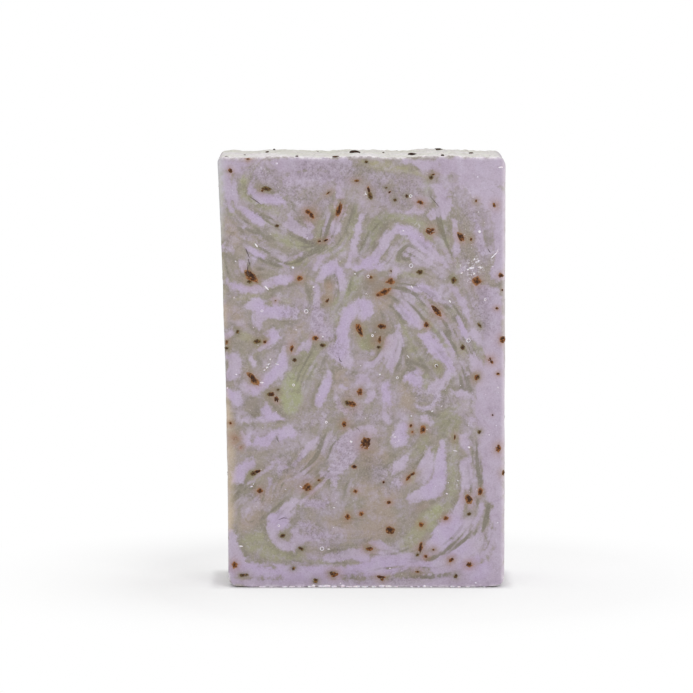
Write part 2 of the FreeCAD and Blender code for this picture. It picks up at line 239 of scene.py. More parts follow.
    ((-11.8, 17.9, 0.6), (-9.8, 17.5, 0.9), (-7.8, 17.3, 0.9), (-7.1, 17.9, 0.6)),
    ((-13.8, 17.6, 0.8), (-15, 16.3, 1.3), (-16.6, 15, 1.4), (-18, 14, 1.5), (-18.5, 12.9, 1.3)),
    ((-16.2, 13.6, 1.5), (-17.6, 12.4, 1.3)),
    ((-18.3, 11.6, 0.9), (-17.4, 10, 1.1), (-15.8, 8.9, 1.2), (-14.3, 8.6, 0.9), (-13, 9.8, 1.3),
     (-13.6, 11.6, 1.0)),
    ((-12.6, 13.3, 0.6), (-11, 13.2, 0.6), (-9.4, 12.4, 0.5)),
    ((-12, 10.4, 1.0), (-10, 10.6, 0.9), (-8, 11, 0.8), (-6.4, 10.9, 0.5)),
    ((-26.8, 11.4, 0.7), (-26.4, 9, 1.0), (-25.9, 7, 1.3), (-25.2, 5.4, 1.4)),
    ((-26, 3.6, 1.8), (-22, 3.4, 2.0), (-18, 3, 1.9), (-14, 2.7, 1.8), (-10, 2.8, 1.8), (-6, 2.9, 1.6),
     (-2, 3.4, 1.6),
     (2, 4.4, 1.8), (6, 4.6, 1.9)),
    ((-26, 1, 1.0), (-18, 1, 1.0), (-8, 1, 0.9), (0, 1, 0.9), (8, 1.2, 1.2), (14, 1.4, 1.6), (20, 1.6, 2.2),
     (24, 2, 2.8), (27.4, 2.6, 3.0)),
    ((-7.8, 6.3, 0.5), (-5.8, 6.2, 1.1), (-3.6, 6.4, 1.3), (-1.6, 7, 1.4), (0.4, 6.6, 1.6)),
    ((2.2, 9.2, 0.7), (3.7, 8.9, 1.0), (4.9, 8.4, 0.9)),
    ((4, 5.8, 1.4), (7, 5.4, 1.5), (10.2, 6, 1.4), (13.2, 4.8, 1.5)),
    ((1.5, 32.7, 0.8), (2.9, 32.6, 0.8)),
    ((8.6, 33.5, 0.9), (7.7, 32.3, 1.1), (7, 31, 1.1), (7.9, 30.2, 0.9), (8.7, 31.4, 0.9)),
    ((9.6, 27.8, 0.5), (8.8, 26.6, 0.8), (7.5, 25.3, 1.0), (6.2, 24.3, 1.0), (5.2, 23.5, 0.5)),
    ((6.6, 22.4, 0.8), (7.8, 21.4, 0.6)),
    ((13.8, 28.9, 0.7), (13.6, 27.2, 0.9), (12.6, 26, 1.0), (11.6, 25.4, 0.6)),
    ((13.8, 25.4, 0.6), (13.8, 23.6, 0.8)),
    ((16.4, 30.2, 0.5), (16.5, 28.4, 0.8), (16.4, 26.4, 1.0), (16.3, 24.4, 1.2), (16, 22.4, 1.5),
     (15.2, 20.4, 1.9),
     (13.6, 19.6, 1.7), (12, 19, 1.2), (10.3, 18.6, 0.8)),
    ((21.2, 31.2, 0.8), (21.3, 29.6, 1.1), (21.6, 28.4, 0.7)),
    ((21.4, 26, 1.0), (21.7, 24, 1.4), (21.8, 22, 1.3), (20.9, 19.6, 0.6), (20.6, 16.6, 1.0)),
    ((20.4, 16.2, 1.2), (19.2, 14.2, 1.6), (17.8, 12.4, 1.8), (16.2, 10.8, 1.6), (14.9, 9, 1.1)),
    ((20.8, 13, 1.6), (19.6, 10.8, 1.6), (17.6, 9, 1.4), (16.4, 6.8, 1.0)),
    ((22.6, 13.4, 1.1), (22.2, 11.2, 1.3), (20.8, 8.8, 1.4), (18.8, 7.6, 1.1), (16.6, 5.4, 1.2)),
    ((24.6, 17.4, 0.8), (24.4, 14.6, 1.0), (23.8, 11.6, 1.1), (22.9, 9.2, 1.3), (21.4, 7.6, 1.1)),
    ((26.9, 16, 0.9), (27.3, 12, 0.7), (26.8, 8.4, 1.2), (25.4, 6, 1.5), (22.6, 4.8, 1.6), (19, 4.2, 1.6),
     (15.4, 4, 1.5)),
)

# Where the soap between the strokes is half mixed with lavender: how far, and the stroke
VEILS = (
    (0.8, ((-28, 88, 2.0), (-20, 86, 2.8), (-16, 83, 2.6), (-10, 84.6, 3.0), (-4, 85, 3.0))),
    (0.55, ((-14, 80.6, 1.6), (-7, 80, 2.0))),
    (0.55, ((0, 82, 3.5), (6, 81, 4.5), (11, 81, 3.6))),
    (0.65, ((14, 87, 2.4), (19, 84, 2.6), (22, 80, 3.0), (25, 76, 3.0), (26, 70, 2.6))),
    (0.35, ((-27, 84, 2.0), (-26, 78, 2.0), (-20, 75, 3.0), (-13, 77, 3.0))),
    (0.4, ((-22, 69, 2.5), (-12, 67, 3.0), (-4, 67, 3.5), (4, 69, 3.0), (12, 68, 3.0), (17, 66, 2.0))),
    (0.45, ((-13, 59, 1.4), (-10, 57, 2.5), (-4, 50, 3.0), (0, 46, 2.5))),
    (0.5, ((10, 61, 3.0), (16, 57, 3.0), (20, 52, 3.0), (22, 46, 3.0))),
    (0.6, ((21, 66, 2.4), (23, 62, 2.6), (24, 57, 2.4), (24, 52, 2.2))),
    (0.45, ((-26, 47, 2.0), (-18, 45, 3.0), (-16, 50, 2.5))),
    (0.55, ((0, 43, 2.6), (5, 40, 3.0))),
    (0.5, ((-14, 33.6, 1.0), (-10, 34.6, 1.0), (-6, 36, 1.4), (-3.6, 39, 1.8), (-1, 36, 1.4))),
    (0.65, ((-22, 31, 2.4), (-14, 31, 2.4), (-9, 30, 1.8), (-4, 28, 3.4), (0, 31, 2.4))),
    (0.6, ((-17, 26, 2.2), (-14, 25, 2.0), (-11, 22.6, 1.2))),
    (0.6, ((-12, 13, 1.8), (-9, 11, 2.0), (-5, 10.6, 1.6), (-10, 7, 1.4))),
    (0.5, ((-19, 21, 1.2), (-20, 18, 1.4), (-24.6, 18, 1.2))),
    (0.5, ((-8, 20, 1.4), (-5.4, 19, 1.4), (-4.8, 15.6, 1.0), (-8, 16.6, 1.4))),
    (0.5, ((3, 33, 1.8), (4, 36, 1.6), (9, 35, 1.2))),
    (0.55, ((4, 24, 1.6), (7, 22, 2.0), (10, 26.4, 2.0), (13, 24, 2.5))),
    (0.45, ((-27, 44, 1.0), (-24, 47, 1.6), (-25, 35.4, 1.4))),
    (0.6, ((-4, 6, 2.0), (4, 7, 2.5), (14, 6, 2.5), (22, 10, 3.0), (24, 18, 2.5), (24, 26, 2.5),
      (24, 34, 3.0),
           (21, 43, 2.4))),
    (0.5, ((16.6, 61, 1.2), (17.6, 58.6, 1.4), (17, 55, 1.4))),
    (0.45, ((12.6, 40, 1.0), (15, 38, 1.2), (19, 39, 1.0))),
)

# Grey flow lines that run over the lavender
FLOW_LINES = (
    ((15, 84.4, 0.12), (17, 83.2, 0.18), (18.5, 82, 0.22), (19.5, 80.4, 0.32), (19.4, 78, 0.4),
     (18.7, 76.5, 0.3)),
    ((18.5, 85, 0.1), (19.5, 82, 0.2), (19.3, 79, 0.3), (19.8, 76.5, 0.3)),
    ((17, 82.6, 0.12), (17.8, 81.4, 0.18), (18, 80.8, 0.1)),
    ((21.2, 82, 0.2), (22, 80.5, 0.45), (22.2, 79, 0.6), (22, 77.4, 0.6), (21.8, 76, 0.45),
     (22.3, 74.8, 0.3)),
    ((16.2, 76, 0.35), (16.6, 74.6, 0.5), (17.4, 73.2, 0.5), (17.8, 72, 0.6), (17, 71, 0.8),
     (17.6, 69.8, 0.5)),
    ((19, 74.4, 0.12), (19.4, 72.6, 0.15)),
    ((15.3, 70.4, 0.18), (16.6, 68.8, 0.2), (17.6, 67.4, 0.22), (19, 66.2, 0.4), (20.2, 66.6, 0.4)),
    ((26.4, 75, 0.35), (26.6, 72, 0.45), (26.4, 69.6, 0.35)),
    ((13.4, 64.6, 0.3), (15, 63.4, 0.4), (16.8, 61.8, 0.5), (18.2, 60.2, 0.5), (19.2, 58.4, 0.5),
     (19.6, 56.8, 0.4)),
    ((21.4, 62.4, 0.25), (22.2, 60.4, 0.35), (22.7, 58.4, 0.15)),
    ((23.4, 60.4, 0.3), (23.7, 58, 0.5), (23.4, 56.2, 0.4)),
    ((22.8, 55.4, 0.15), (22.2, 52.8, 0.2)),
    ((14.2, 53.8, 0.4), (15.6, 52.6, 0.5), (17.1, 50.6, 0.5), (18.5, 48.6, 0.4), (19.8, 46.4, 0.4),
     (20.3, 44.4, 0.5),
     (20.1, 42.8, 0.5)),
    ((21.6, 47.2, 0.2), (22.4, 45, 0.22), (23, 43.2, 0.25)),
    ((23.4, 50.4, 0.3), (24.2, 49, 0.6), (25, 47.8, 0.5), (25.6, 47.2, 0.2)),
    ((23.2, 29.8, 0.3), (23.3, 28, 0.4), (23, 26.8, 0.6), (22.4, 27.2, 0.4)),
    ((23.4, 26.4, 0.22), (24, 24.6, 0.16), (24.5, 22.4, 0.16), (24.6, 20.6, 0.2)),
    ((25.4, 15, 0.14), (24, 12.6, 0.2), (22, 10.4, 0.2), (19.4, 8.6, 0.18), (16.6, 7.2, 0.16),
     (14, 6.6, 0.12)),
    ((23, 14, 0.12), (21.4, 12, 0.16), (19.6, 10, 0.15), (17.8, 8.6, 0.15), (15.6, 7.4, 0.1)),
    ((26.4, 17, 0.3), (26, 15, 0.4), (26, 12.6, 0.5), (25.6, 10, 0.6), (24.8, 8.2, 0.5), (23, 6.8, 0.3),
     (20.4, 6, 0.3), (19, 5.6, 0.15)),
    ((23.6, 19.5, 0.2), (23.6, 17, 0.25), (23, 14.6, 0.15)),
    ((27.6, 13.4, 0.1), (27.6, 10.6, 0.12), (26.8, 7.4, 0.1), (25.6, 5.8, 0.1), (23.4, 4.6, 0.08)),
    ((22, 15.4, 0.25), (22.6, 13.6, 0.3), (22, 12.2, 0.25)),
    ((23.6, 17, 0.35), (23.4, 15.4, 0.4), (23, 14.2, 0.2)),
    ((-2, 2.5, 0.1), (2, 3.2, 0.14), (6, 4, 0.14), (9, 4.5, 0.12)),
    ((8.8, 3.2, 0.3), (10.6, 3.3, 0.6), (12.4, 3.2, 0.5), (15, 3.3, 0.14)),
    ((13, 2.1, 0.1), (16, 2.4, 0.1), (18, 3, 0.1)),
    ((-25, 2.4, 0.2), (-23.6, 2.2, 0.35), (-20, 2, 0.2), (-16, 1.9, 0.1)),
    ((-21, 4.6, 0.1), (-18.6, 4.7, 0.3), (-17.8, 4.5, 0.15)),
    ((-16, 5.2, 0.2), (-12, 4.8, 0.25), (-8, 4.7, 0.2), (-4, 4.5, 0.12)),
    ((-3.6, 1.8, 0.4), (-1.6, 1.9, 0.5), (0.6, 1.9, 0.5)),
    ((-26, 79.4, 0.1), (-24.8, 77.6, 0.12), (-23.6, 76.8, 0.1)),
    ((-22.8, 75.2, 0.12), (-21.6, 74.2, 0.15), (-20.6, 73.7, 0.1)),
    ((-19.2, 86.6, 0.3), (-19, 85.4, 0.7), (-17.8, 84.2, 0.5), (-17, 83.2, 0.2)),
    ((-16.2, 79.2, 0.1), (-15.2, 78.6, 0.12), (-15.2, 79.8, 0.1)),
    ((-14, 81.8, 0.2), (-12, 82, 0.3), (-10.6, 82.2, 0.2)),
    ((-11.6, 77, 0.3), (-11.8, 75.6, 0.4), (-11.4, 74.6, 0.4)),
    ((13.4, 79, 0.06), (14, 77, 0.08), (14.3, 75.8, 0.06)),
    ((11.2, 78.4, 0.06), (11.6, 76.6, 0.08), (11.9, 75.6, 0.06)),
    ((5.4, 86, 0.6), (5.5, 84, 0.5), (5.6, 82.8, 0.4)),
    ((-5.4, 30.9, 0.1), (-5.4, 28, 0.12), (-4.8, 26.2, 0.1)),
    ((-17.2, 31.4, 0.12), (-17.4, 30.4, 0.16), (-16.9, 29.8, 0.1)),
    ((5.2, 24.6, 0.1), (6.2, 23.2, 0.14), (8, 23.8, 0.12), (9.8, 25.6, 0.12)),
    ((6.3, 50.8, 0.2), (5.8, 48.6, 0.25), (5.2, 46.4, 0.3)),
    ((-6.8, 63, 0.5), (-6.2, 62, 0.6)),
)

# Green and olive soap, with its strength and how yellow it is
GREENS = (
    (0.75, 0.5, ((-21.5, 87.3, 0.6), (-23, 86, 0.8), (-24.2, 84, 0.9), (-24.6, 82.5, 0.8), (-24, 81, 0.7),
                 (-22.8, 79.9, 0.5), (-21, 78.9, 0.5), (-19, 78.1, 0.45), (-17, 77.2, 0.4))),
    (0.6, 0.9, ((-29.2, 84.4, 0.8), (-28.8, 82, 0.8), (-28.6, 79.6, 0.5))),
    (0.55, 0.4, ((-20.4, 75.6, 0.3), (-18.9, 75.2, 0.5), (-18, 74, 0.6), (-17, 72.7, 0.9), (-15.5, 71.8, 1.0),
                 (-13.5, 71, 1.0), (-11.8, 70.6, 0.9), (-9, 70, 0.9), (-6.2, 69.9, 0.9), (-4, 70, 1.0))),
    (0.4, 0.4, ((-20.6, 73.1, 0.3), (-18.6, 72.7, 0.4))),
    (0.45, 0.4, ((-8, 77, 0.5), (-8.6, 73.4, 0.6), (-9, 71, 0.6))),
    (0.5, 0.4, ((-6.2, 78.6, 0.7), (-4.2, 77.2, 0.6))),
    (0.75, 0.6, ((-14, 66.8, 1.0), (-12.4, 66.2, 1.6), (-11.4, 67.6, 0.7), (-12.6, 64.6, 1.0))),
    (0.6, 0.3, ((-5.4, 55.2, 0.7), (-5.7, 56.6, 0.9), (-4.7, 58.4, 1.3), (-3.4, 60.6, 1.4), (-1.8, 62.8, 1.2),
                (-0.4, 64.6, 0.9))),
    (0.95, 0.35, ((-14.4, 37.4, 1.5), (-14.3, 39.6, 2.5), (-14.3, 41.4, 2.2), (-14.3, 43.4, 1.4))),
    (0.5, 0.4, ((-13.6, 43.6, 1.5), (-12.3, 45.6, 1.7), (-11, 47.6, 1.8), (-9.4, 49.2, 1.0),
      (-8.2, 50, 0.5))),
    (0.45, 0.3, ((-11.6, 41, 0.8), (-10.6, 44, 1.0), (-9.8, 46.8, 0.9))),
    (0.8, 0.5, ((0.4, 53.2, 1.1), (0.9, 51.4, 1.5), (1.3, 49.8, 1.2), (2.6, 49.8, 0.9))),
    (0.55, 0.45, ((-24, 9.6, 0.7), (-22.4, 9.4, 1.8), (-20.9, 9.6, 1.9), (-19.6, 8, 1.7), (-17.4, 6.9, 1.2),
                  (-15, 6.2, 1.2), (-12.8, 6.3, 1.2))),
    (0.4, 0.4, ((-11.4, 5.9, 0.7), (-8.4, 5.3, 0.5), (-5.6, 4.9, 0.3))),
    (0.95, 0.45, ((12.6, 12.8, 1.3), (14.2, 12.8, 1.3), (14.2, 14.4, 1.4), (16, 16, 1.2))),
    (0.6, 0.45, ((17.8, 16.6, 0.9), (16, 16.4, 1.1), (13.6, 14, 1.8), (12.2, 11.8, 1.4), (10.6, 9.9, 1.6),
                 (9, 8.6, 1.5), (7.4, 7.6, 0.9))),
    (0.5, 0.35, ((17.8, 16.2, 0.8), (18.6, 18.6, 0.9), (19, 22, 1.0), (18.8, 25, 1.0), (18.9, 28, 0.9),
      (19.4, 30, 0.7))),
    (0.5, 0.4, ((16, 33.8, 1.4), (17.4, 35.2, 1.6), (19, 34.6, 1.4), (18.6, 32.8, 1.6), (17, 32.2, 1.2),
      (17.6, 31, 0.8))),
    (0.4, 0.4, ((17.8, 37.3, 0.7), (20, 37.4, 0.8))),
    (0.65, 0.6, ((21.7, 37.9, 1.1), (22.2, 37, 0.9))),
    (0.6, 0.3, ((0, 69.8, 0.6), (1.4, 71.8, 1.0), (2.3, 74, 1.3), (3.4, 75.8, 1.1), (5, 76.8, 0.8),
      (8, 76.6, 0.6),
                (10.4, 75.8, 0.7), (12, 74.8, 0.8), (13.6, 73.2, 1.0), (15.2, 72.2, 1.2), (16.8, 71.2, 1.0))),
    (0.55, 0.3, ((14.6, 73.4, 1.4), (16.4, 74.2, 1.2), (16.6, 75.8, 0.6))),
    (0.5, 0.4, ((9.2, 72, 0.4), (8.2, 70.8, 0.7), (7, 69.6, 1.1), (6.2, 68.2, 1.3), (6.5, 67, 1.5),
      (8, 66, 1.1),
                (9.8, 64.8, 0.9), (12, 65, 1.0))),
    (0.5, 0.4, ((-1, 79, 0.4), (-1.7, 76, 0.6), (-2.2, 73.8, 0.7), (-3.2, 72.3, 0.6), (-4, 71.2, 0.6))),
    (0.35, 0.2, ((10.2, 60.4, 0.5), (11.8, 59.6, 0.9), (13, 57.7, 1.0), (13.4, 55.8, 0.7))),
    (0.4, 0.3, ((16, 62.2, 0.2), (16.9, 61, 0.4), (18, 59.8, 0.3))),
    (0.4, 0.3, ((17.4, 57.6, 0.4), (18.8, 57.2, 0.7), (19.6, 56.6, 0.4))),
    (0.4, 0.2, ((23.4, 50.4, 0.5), (24.4, 49.1, 1.0), (25, 48, 0.5))),
    (0.65, 0.2, ((13.3, 83.1, 0.8), (13.6, 81.6, 0.8), (14.2, 80.2, 0.5))),
    (0.65, 0.8, ((0, 88, 0.5), (2.5, 87.6, 0.8), (5, 87, 1.0), (7.5, 86.6, 0.8), (10, 86.1, 0.6),
      (12.5, 85.4, 0.5),
                (13.6, 85, 0.4))),
    (0.5, 0.3, ((19.9, 66.8, 0.4), (19.4, 65, 0.5), (18.9, 63.6, 0.7))),
    (0.5, 0.3, ((14.2, 54.8, 0.3), (15.6, 52.9, 0.4), (17, 50.9, 0.4), (18.4, 48.6, 0.4), (19.3, 46.8, 0.4))),
    (0.5, 0.5, ((8.4, 55.2, 0.4), (9.4, 53.4, 0.6), (10, 51.4, 0.8), (10.4, 49.8, 1.0), (12, 48, 1.1),
      (13.6, 46.9, 0.9),
                (15.4, 46.4, 1.0), (15.8, 45, 0.9))),
    (0.5, 0.5, ((20, 44, 0.6), (19.5, 42.9, 0.8))),
    (0.45, 0.4, ((13.4, 43.6, 0.6), (13.2, 41.4, 0.7))),
    (0.75, 0.8, ((20.6, 50.4, 0.7), (21, 49, 0.9), (21.2, 48.2, 0.4))),
    (0.55, 0.4, ((22.4, 32.6, 0.6), (23.6, 31.7, 0.8), (24.6, 32.4, 0.4))),
    (0.4, 0.4, ((23.2, 29.3, 0.3), (23.2, 28, 0.5), (22.9, 27, 0.5))),
    (0.5, 0.5, ((9.6, 28.4, 0.6), (10.8, 28.5, 1.0), (12.4, 29.2, 1.1), (12.8, 31, 0.9))),
    (0.5, 0.4, ((15, 29, 0.3), (15.2, 27, 0.4), (14.9, 25.4, 0.3))),
    (0.85, 0.8, ((10, 22.4, 0.8), (10.8, 23.4, 1.0), (12.2, 24, 0.8))),
    (0.4, 0.3, ((17.6, 85.6, 0.3), (18.3, 83.8, 0.4))),
    (0.5, 0.9, ((-26, 60, 0.3), (-24, 60.2, 0.5), (-21.6, 60.4, 0.3))),
    (0.5, 0.8, ((-16.2, 59.6, 0.4), (-15.4, 59.3, 0.6))),
    (0.6, 0.9, ((-28.6, 77, 0.4), (-28.6, 66, 0.3), (-28.4, 60, 0.3))),
    (0.45, 0.6, ((-24.4, 52.4, 1.0), (-23, 51.6, 0.9))),
    (0.5, 0.6, ((-22.8, 23.6, 1.2), (-21.4, 23, 1.0))),
    (0.4, 0.5, ((9.2, 35.4, 0.7), (10, 34.6, 0.6))),
    (0.4, 0.5, ((-8.6, 50.4, 0.5), (-6.4, 50.8, 0.3))),
    (0.4, 0.3, ((-26.4, 79.2, 0.3), (-26.7, 77.6, 1.1))),
)

# Pinkish taupe and beige parts of the grey soap
WARM = (
    ((-28.4, 57.5, 1.4), (-26.4, 56.8, 1.5), (-25, 54.6, 1.2)),
    ((-27.6, 76.2, 0.7), (-26.6, 74, 1.6), (-25.8, 72, 1.6)),
    ((-14.6, 52, 1.3), (-13, 53.8, 1.5), (-15, 50.6, 0.8)),
    ((9.4, 38.8, 1.7), (8.8, 41.2, 1.2), (9.6, 37, 1.3)),
    ((2, 12, 2.4), (5, 14, 2.4), (3, 17, 2.4), (6.4, 19, 1.4), (1, 20.6, 2.0)),
    ((-22, 15, 2.0), (-24, 13, 1.4), (-20.8, 17, 1.5), (-18, 19.6, 1.2), (-15, 22, 1.6), (-12, 24.6, 1.5),
     (-9.4, 27, 1.4)),
    ((1.6, 26.6, 2.0), (4, 27.4, 1.5)),
    ((3, 62.2, 1.6), (5.6, 61.8, 1.4), (4, 58.6, 1.8)),
    ((-4, 43.6, 1.5), (-2, 41, 1.0), (-5.4, 41.6, 0.8)),
    ((-28, 88.4, 1.2), (-24, 88.4, 1.4), (-20, 88.6, 1.0)),
    ((-3, 12, 1.8), (-6, 13.6, 1.6)),
    ((11.8, 16.6, 1.2), (13.4, 16.8, 0.8)),
    ((-6.6, 62.6, 0.9), (-7.2, 60, 1.0)),
)

# Darker parts: strength and stroke
SHADES = (
    (0.5, ((-23, 38, 1.4), (-21.4, 37, 1.6), (-22.4, 36, 1.2))),
    (0.7, ((0.8, 52.4, 1.6), (2.4, 50.6, 1.8), (4, 53.6, 1.6))),
    (0.5, ((1.2, 72, 1.2), (2.8, 74.6, 1.4), (5, 76.8, 1.0))),
    (0.7, ((-13.4, 66.4, 1.6), (-12, 66.4, 1.6))),
    (0.7, ((2.2, 62.6, 1.6), (4.4, 61.4, 1.8), (6, 62.8, 1.4))),
    (0.25, ((-22.6, 81.6, 1.4), (-19, 83.4, 2.4), (-17.4, 85.6, 1.6))),
    (0.3, ((-14, 75, 1.5), (-11, 77, 1.6), (-9.4, 79.4, 1.8), (-8, 73, 1.6))),
    (0.3, ((3, 82, 2.2), (7, 80.4, 2.6), (9.6, 83, 1.6))),
    (0.28, ((-14, 86.4, 1.6), (-6, 86, 2.0), (0, 85.4, 1.8))),
    (0.5, ((12.4, 16.6, 1.2), (11.6, 15.6, 0.9))),
    (0.4, ((-5.6, 8.2, 0.9), (-3.4, 7.6, 0.9))),
    (0.35, ((-22, 1.8, 0.5), (-8, 1.7, 0.6), (4, 1.3, 0.7), (12, 1.6, 0.6))),
    (0.6, ((-3, 2, 0.8), (0, 1.9, 0.7))),
    (0.4, ((14.4, 73, 1.4), (16.6, 73.6, 1.3))),
    (0.4, ((24.6, 57, 1.0), (25.8, 55.4, 0.9))),
    (0.45, ((2.6, 25.6, 2.0), (1.4, 23.4, 1.8), (0.6, 27.6, 1.6))),
    (0.3, ((-10, 72, 1.0), (-7, 72, 0.8))),
    (0.35, ((16, 33.6, 1.6), (19, 34, 1.8))),
    (0.4, ((-14.6, 5.6, 1.2), (-11, 5.4, 0.8))),
    (0.3, ((-12.4, 46, 1.6), (-10.6, 48.6, 1.4))),
    (0.3, ((-4.6, 58.6, 1.4), (-2, 62, 1.4))),
    (0.3, ((10.2, 50.4, 1.2), (12.4, 47.8, 1.2), (15.6, 45.4, 1.2))),
    (0.3, ((11.4, 29, 1.6), (12.6, 31.4, 1.2))),
    (0.45, ((-24.6, 19.4, 0.5), (-21.4, 19.2, 0.6), (-18.4, 22, 0.6), (-15, 24.6, 0.5), (-12.6, 26.4, 0.4))),
    (0.45, ((-21.6, 13.6, 0.4), (-18.8, 17.2, 0.5), (-16, 20, 0.5), (-12.6, 22, 0.5), (-9.4, 24.6, 0.5),
      (-6.6, 29, 0.4))),
    (0.4, ((21.4, 70, 0.5), (23, 66, 0.6), (24.6, 61, 0.6), (25.4, 55, 0.5), (25, 50, 0.4))),
)

# Crumbly parts with a coarse grain
GRAINY = (
    ((-22, 85.4, 2.0), (-18, 83, 2.4), (-12, 81, 2.4), (-6, 80, 2.0)),
    ((-11.6, 77, 2.0), (-10.6, 75, 1.4)),
    ((-15, 56.6, 1.6), (-9, 57.6, 1.8), (-8.6, 53.6, 1.8), (-5, 49, 2.0)),
    ((4, 84, 3.0), (9, 82, 3.5)),
    ((-12, 86, 2.0), (-4, 85.6, 2.2), (1, 86, 1.6)),
    ((21.6, 78, 2.0), (22.4, 73, 2.2), (23.4, 67, 3.0), (25.4, 62.6, 2.2), (25, 57, 2.0), (26, 54, 1.4)),
    ((-14.6, 26, 2.4), (-17, 23, 1.6)),
    ((-12.4, 33.6, 0.8), (-6, 36, 1.2), (-3.4, 38.4, 1.8), (-1, 36, 1.4), (2, 35.6, 1.2)),
    ((-4, 30, 2.4), (-3, 27, 2.6), (-6, 23.4, 2.0)),
    ((-12, 13, 1.6), (-9, 11, 1.6), (-5, 8, 1.6)),
    ((-11, 17.4, 1.2), (-7, 17.4, 1.2)),
    ((2.4, 25, 2.6), (6, 22, 2.0)),
    ((11.6, 40, 1.6), (15.6, 38.6, 1.8), (18.6, 38.6, 1.2)),
    ((-20.6, 18.6, 1.6), (-22, 20, 1.2)),
    ((6, 1.8, 1.2), (12, 2.6, 1.2)),
    ((-2.6, 1.9, 1.0), (1, 1.9, 0.8)),
    ((-10, 72, 1.6), (-7, 72, 1.2)),
)

# Where the lavender is purest
PURE = (
    ((-22.4, 81.6, 1.0), (-19, 80.2, 1.4), (-16.4, 79.6, 1.0)),
    ((-23, 77.4, 1.0), (-21, 76, 1.0)),
    ((-21.6, 69, 1.2), (-20, 68.4, 0.8)),
    ((-26, 62.4, 1.0), (-22, 61.8, 0.8)),
    ((-17, 63.4, 1.0), (-15, 63.8, 0.6)),
    ((-7, 66, 1.6), (-5, 65.6, 1.4)),
    ((0, 67, 1.6), (3, 67.4, 1.4)),
    ((8, 74.2, 1.0), (13, 70.6, 1.2)),
    ((12, 62, 1.2), (15, 60.2, 1.2)),
    ((0.4, 58.4, 1.6), (0.8, 57, 1.4)),
    ((8.6, 57.4, 1.0), (11, 55, 1.0)),
    ((-21.4, 58.4, 1.4), (-16, 57, 1.4)),
    ((-18, 52.2, 1.2), (-19, 50.8, 0.8)),
    ((-2, 57, 1.4), (-3.9, 53, 1.6), (-4.2, 49, 1.8)),
    ((14, 51.2, 1.6), (16.6, 48, 1.4), (18, 45.8, 1.0)),
    ((-16, 47, 1.2), (-18.4, 43.4, 1.4), (-21.6, 40.8, 1.2)),
    ((-26.4, 39.8, 1.4), (-25.4, 38.8, 1.2)),
    ((-19.2, 36, 1.6), (-17, 35.2, 1.2)),
    ((-7, 42.4, 1.2), (-8.4, 39.4, 1.2)),
    ((5, 41.4, 1.4), (5.2, 39, 1.2)),
    ((10.4, 43.4, 1.6), (11.2, 42, 1.2)),
    ((-22, 30.4, 1.6), (-18, 31.2, 1.8), (-14.6, 32, 1.4)),
    ((-23.4, 25.2, 1.6), (-25.6, 22.8, 1.4)),
    ((-17.6, 14.2, 1.8), (-16, 13.4, 1.4)),
    ((-26, 4, 2.0), (-10, 2.8, 2.0), (4, 4.6, 2.0), (14, 5, 1.6)),
    ((16.4, 28, 1.0), (16.2, 23, 1.6), (14, 19.8, 1.8)),
    ((18.6, 13, 2.2), (16, 10.4, 1.6), (20, 8, 2.0), (24, 4, 2.4)),
    ((8.4, 33, 1.2), (7.6, 30.8, 1.2)),
    ((20.4, 54, 1.0), (21.2, 52.6, 1.0)),
)

# Where thin streaks run through the soap
STREAKY = (
    ((-24, 74, 2.0), (-20, 70.6, 2.5), (-14, 70.4, 2.0)),
    ((-26, 80, 1.6), (-22, 76, 2.4), (-16, 74, 2.4), (-10, 71, 2.0), (-6, 69, 1.6)),
    ((-27, 65, 1.6), (-21, 66, 2.0), (-13, 68, 2.0)),
    ((-25, 20, 1.8), (-19, 20, 2.0), (-13, 24, 2.0), (-8, 29, 1.8), (-5, 33, 1.4)),
    ((-20, 14, 1.4), (-12, 19, 1.8), (-7, 24, 1.4)),
    ((-9, 60, 1.4), (-6, 64, 1.8), (-2, 60, 1.6)),
    ((-4, 78, 2.0), (-6, 73, 2.5), (-3, 70, 2.0)),
    ((0, 72, 2.5), (8, 70, 4.0), (16, 67, 4.0), (18, 76, 2.5)),
    ((10, 60, 4.0), (16, 56, 4.0), (20, 50, 4.0), (20, 45, 2.5)),
    ((5, 48, 2.5), (8, 50, 2.0), (10, 46, 2.5)),
    ((-11, 43, 1.8), (-10, 46, 1.8)),
    ((24, 28, 2.0), (25, 20, 2.5), (25, 12, 3.0), (20, 9, 4.0), (12, 4, 3.0), (0, 3, 2.0)),
    ((12.6, 27, 2.5), (13.6, 24, 2.0)),
    ((-24, 15, 2.5), (-22, 13, 2.0)),
    ((-6, 5, 1.6), (-14, 5, 1.4)),
    ((12, 37.4, 1.0), (15, 37, 1.0)),
)

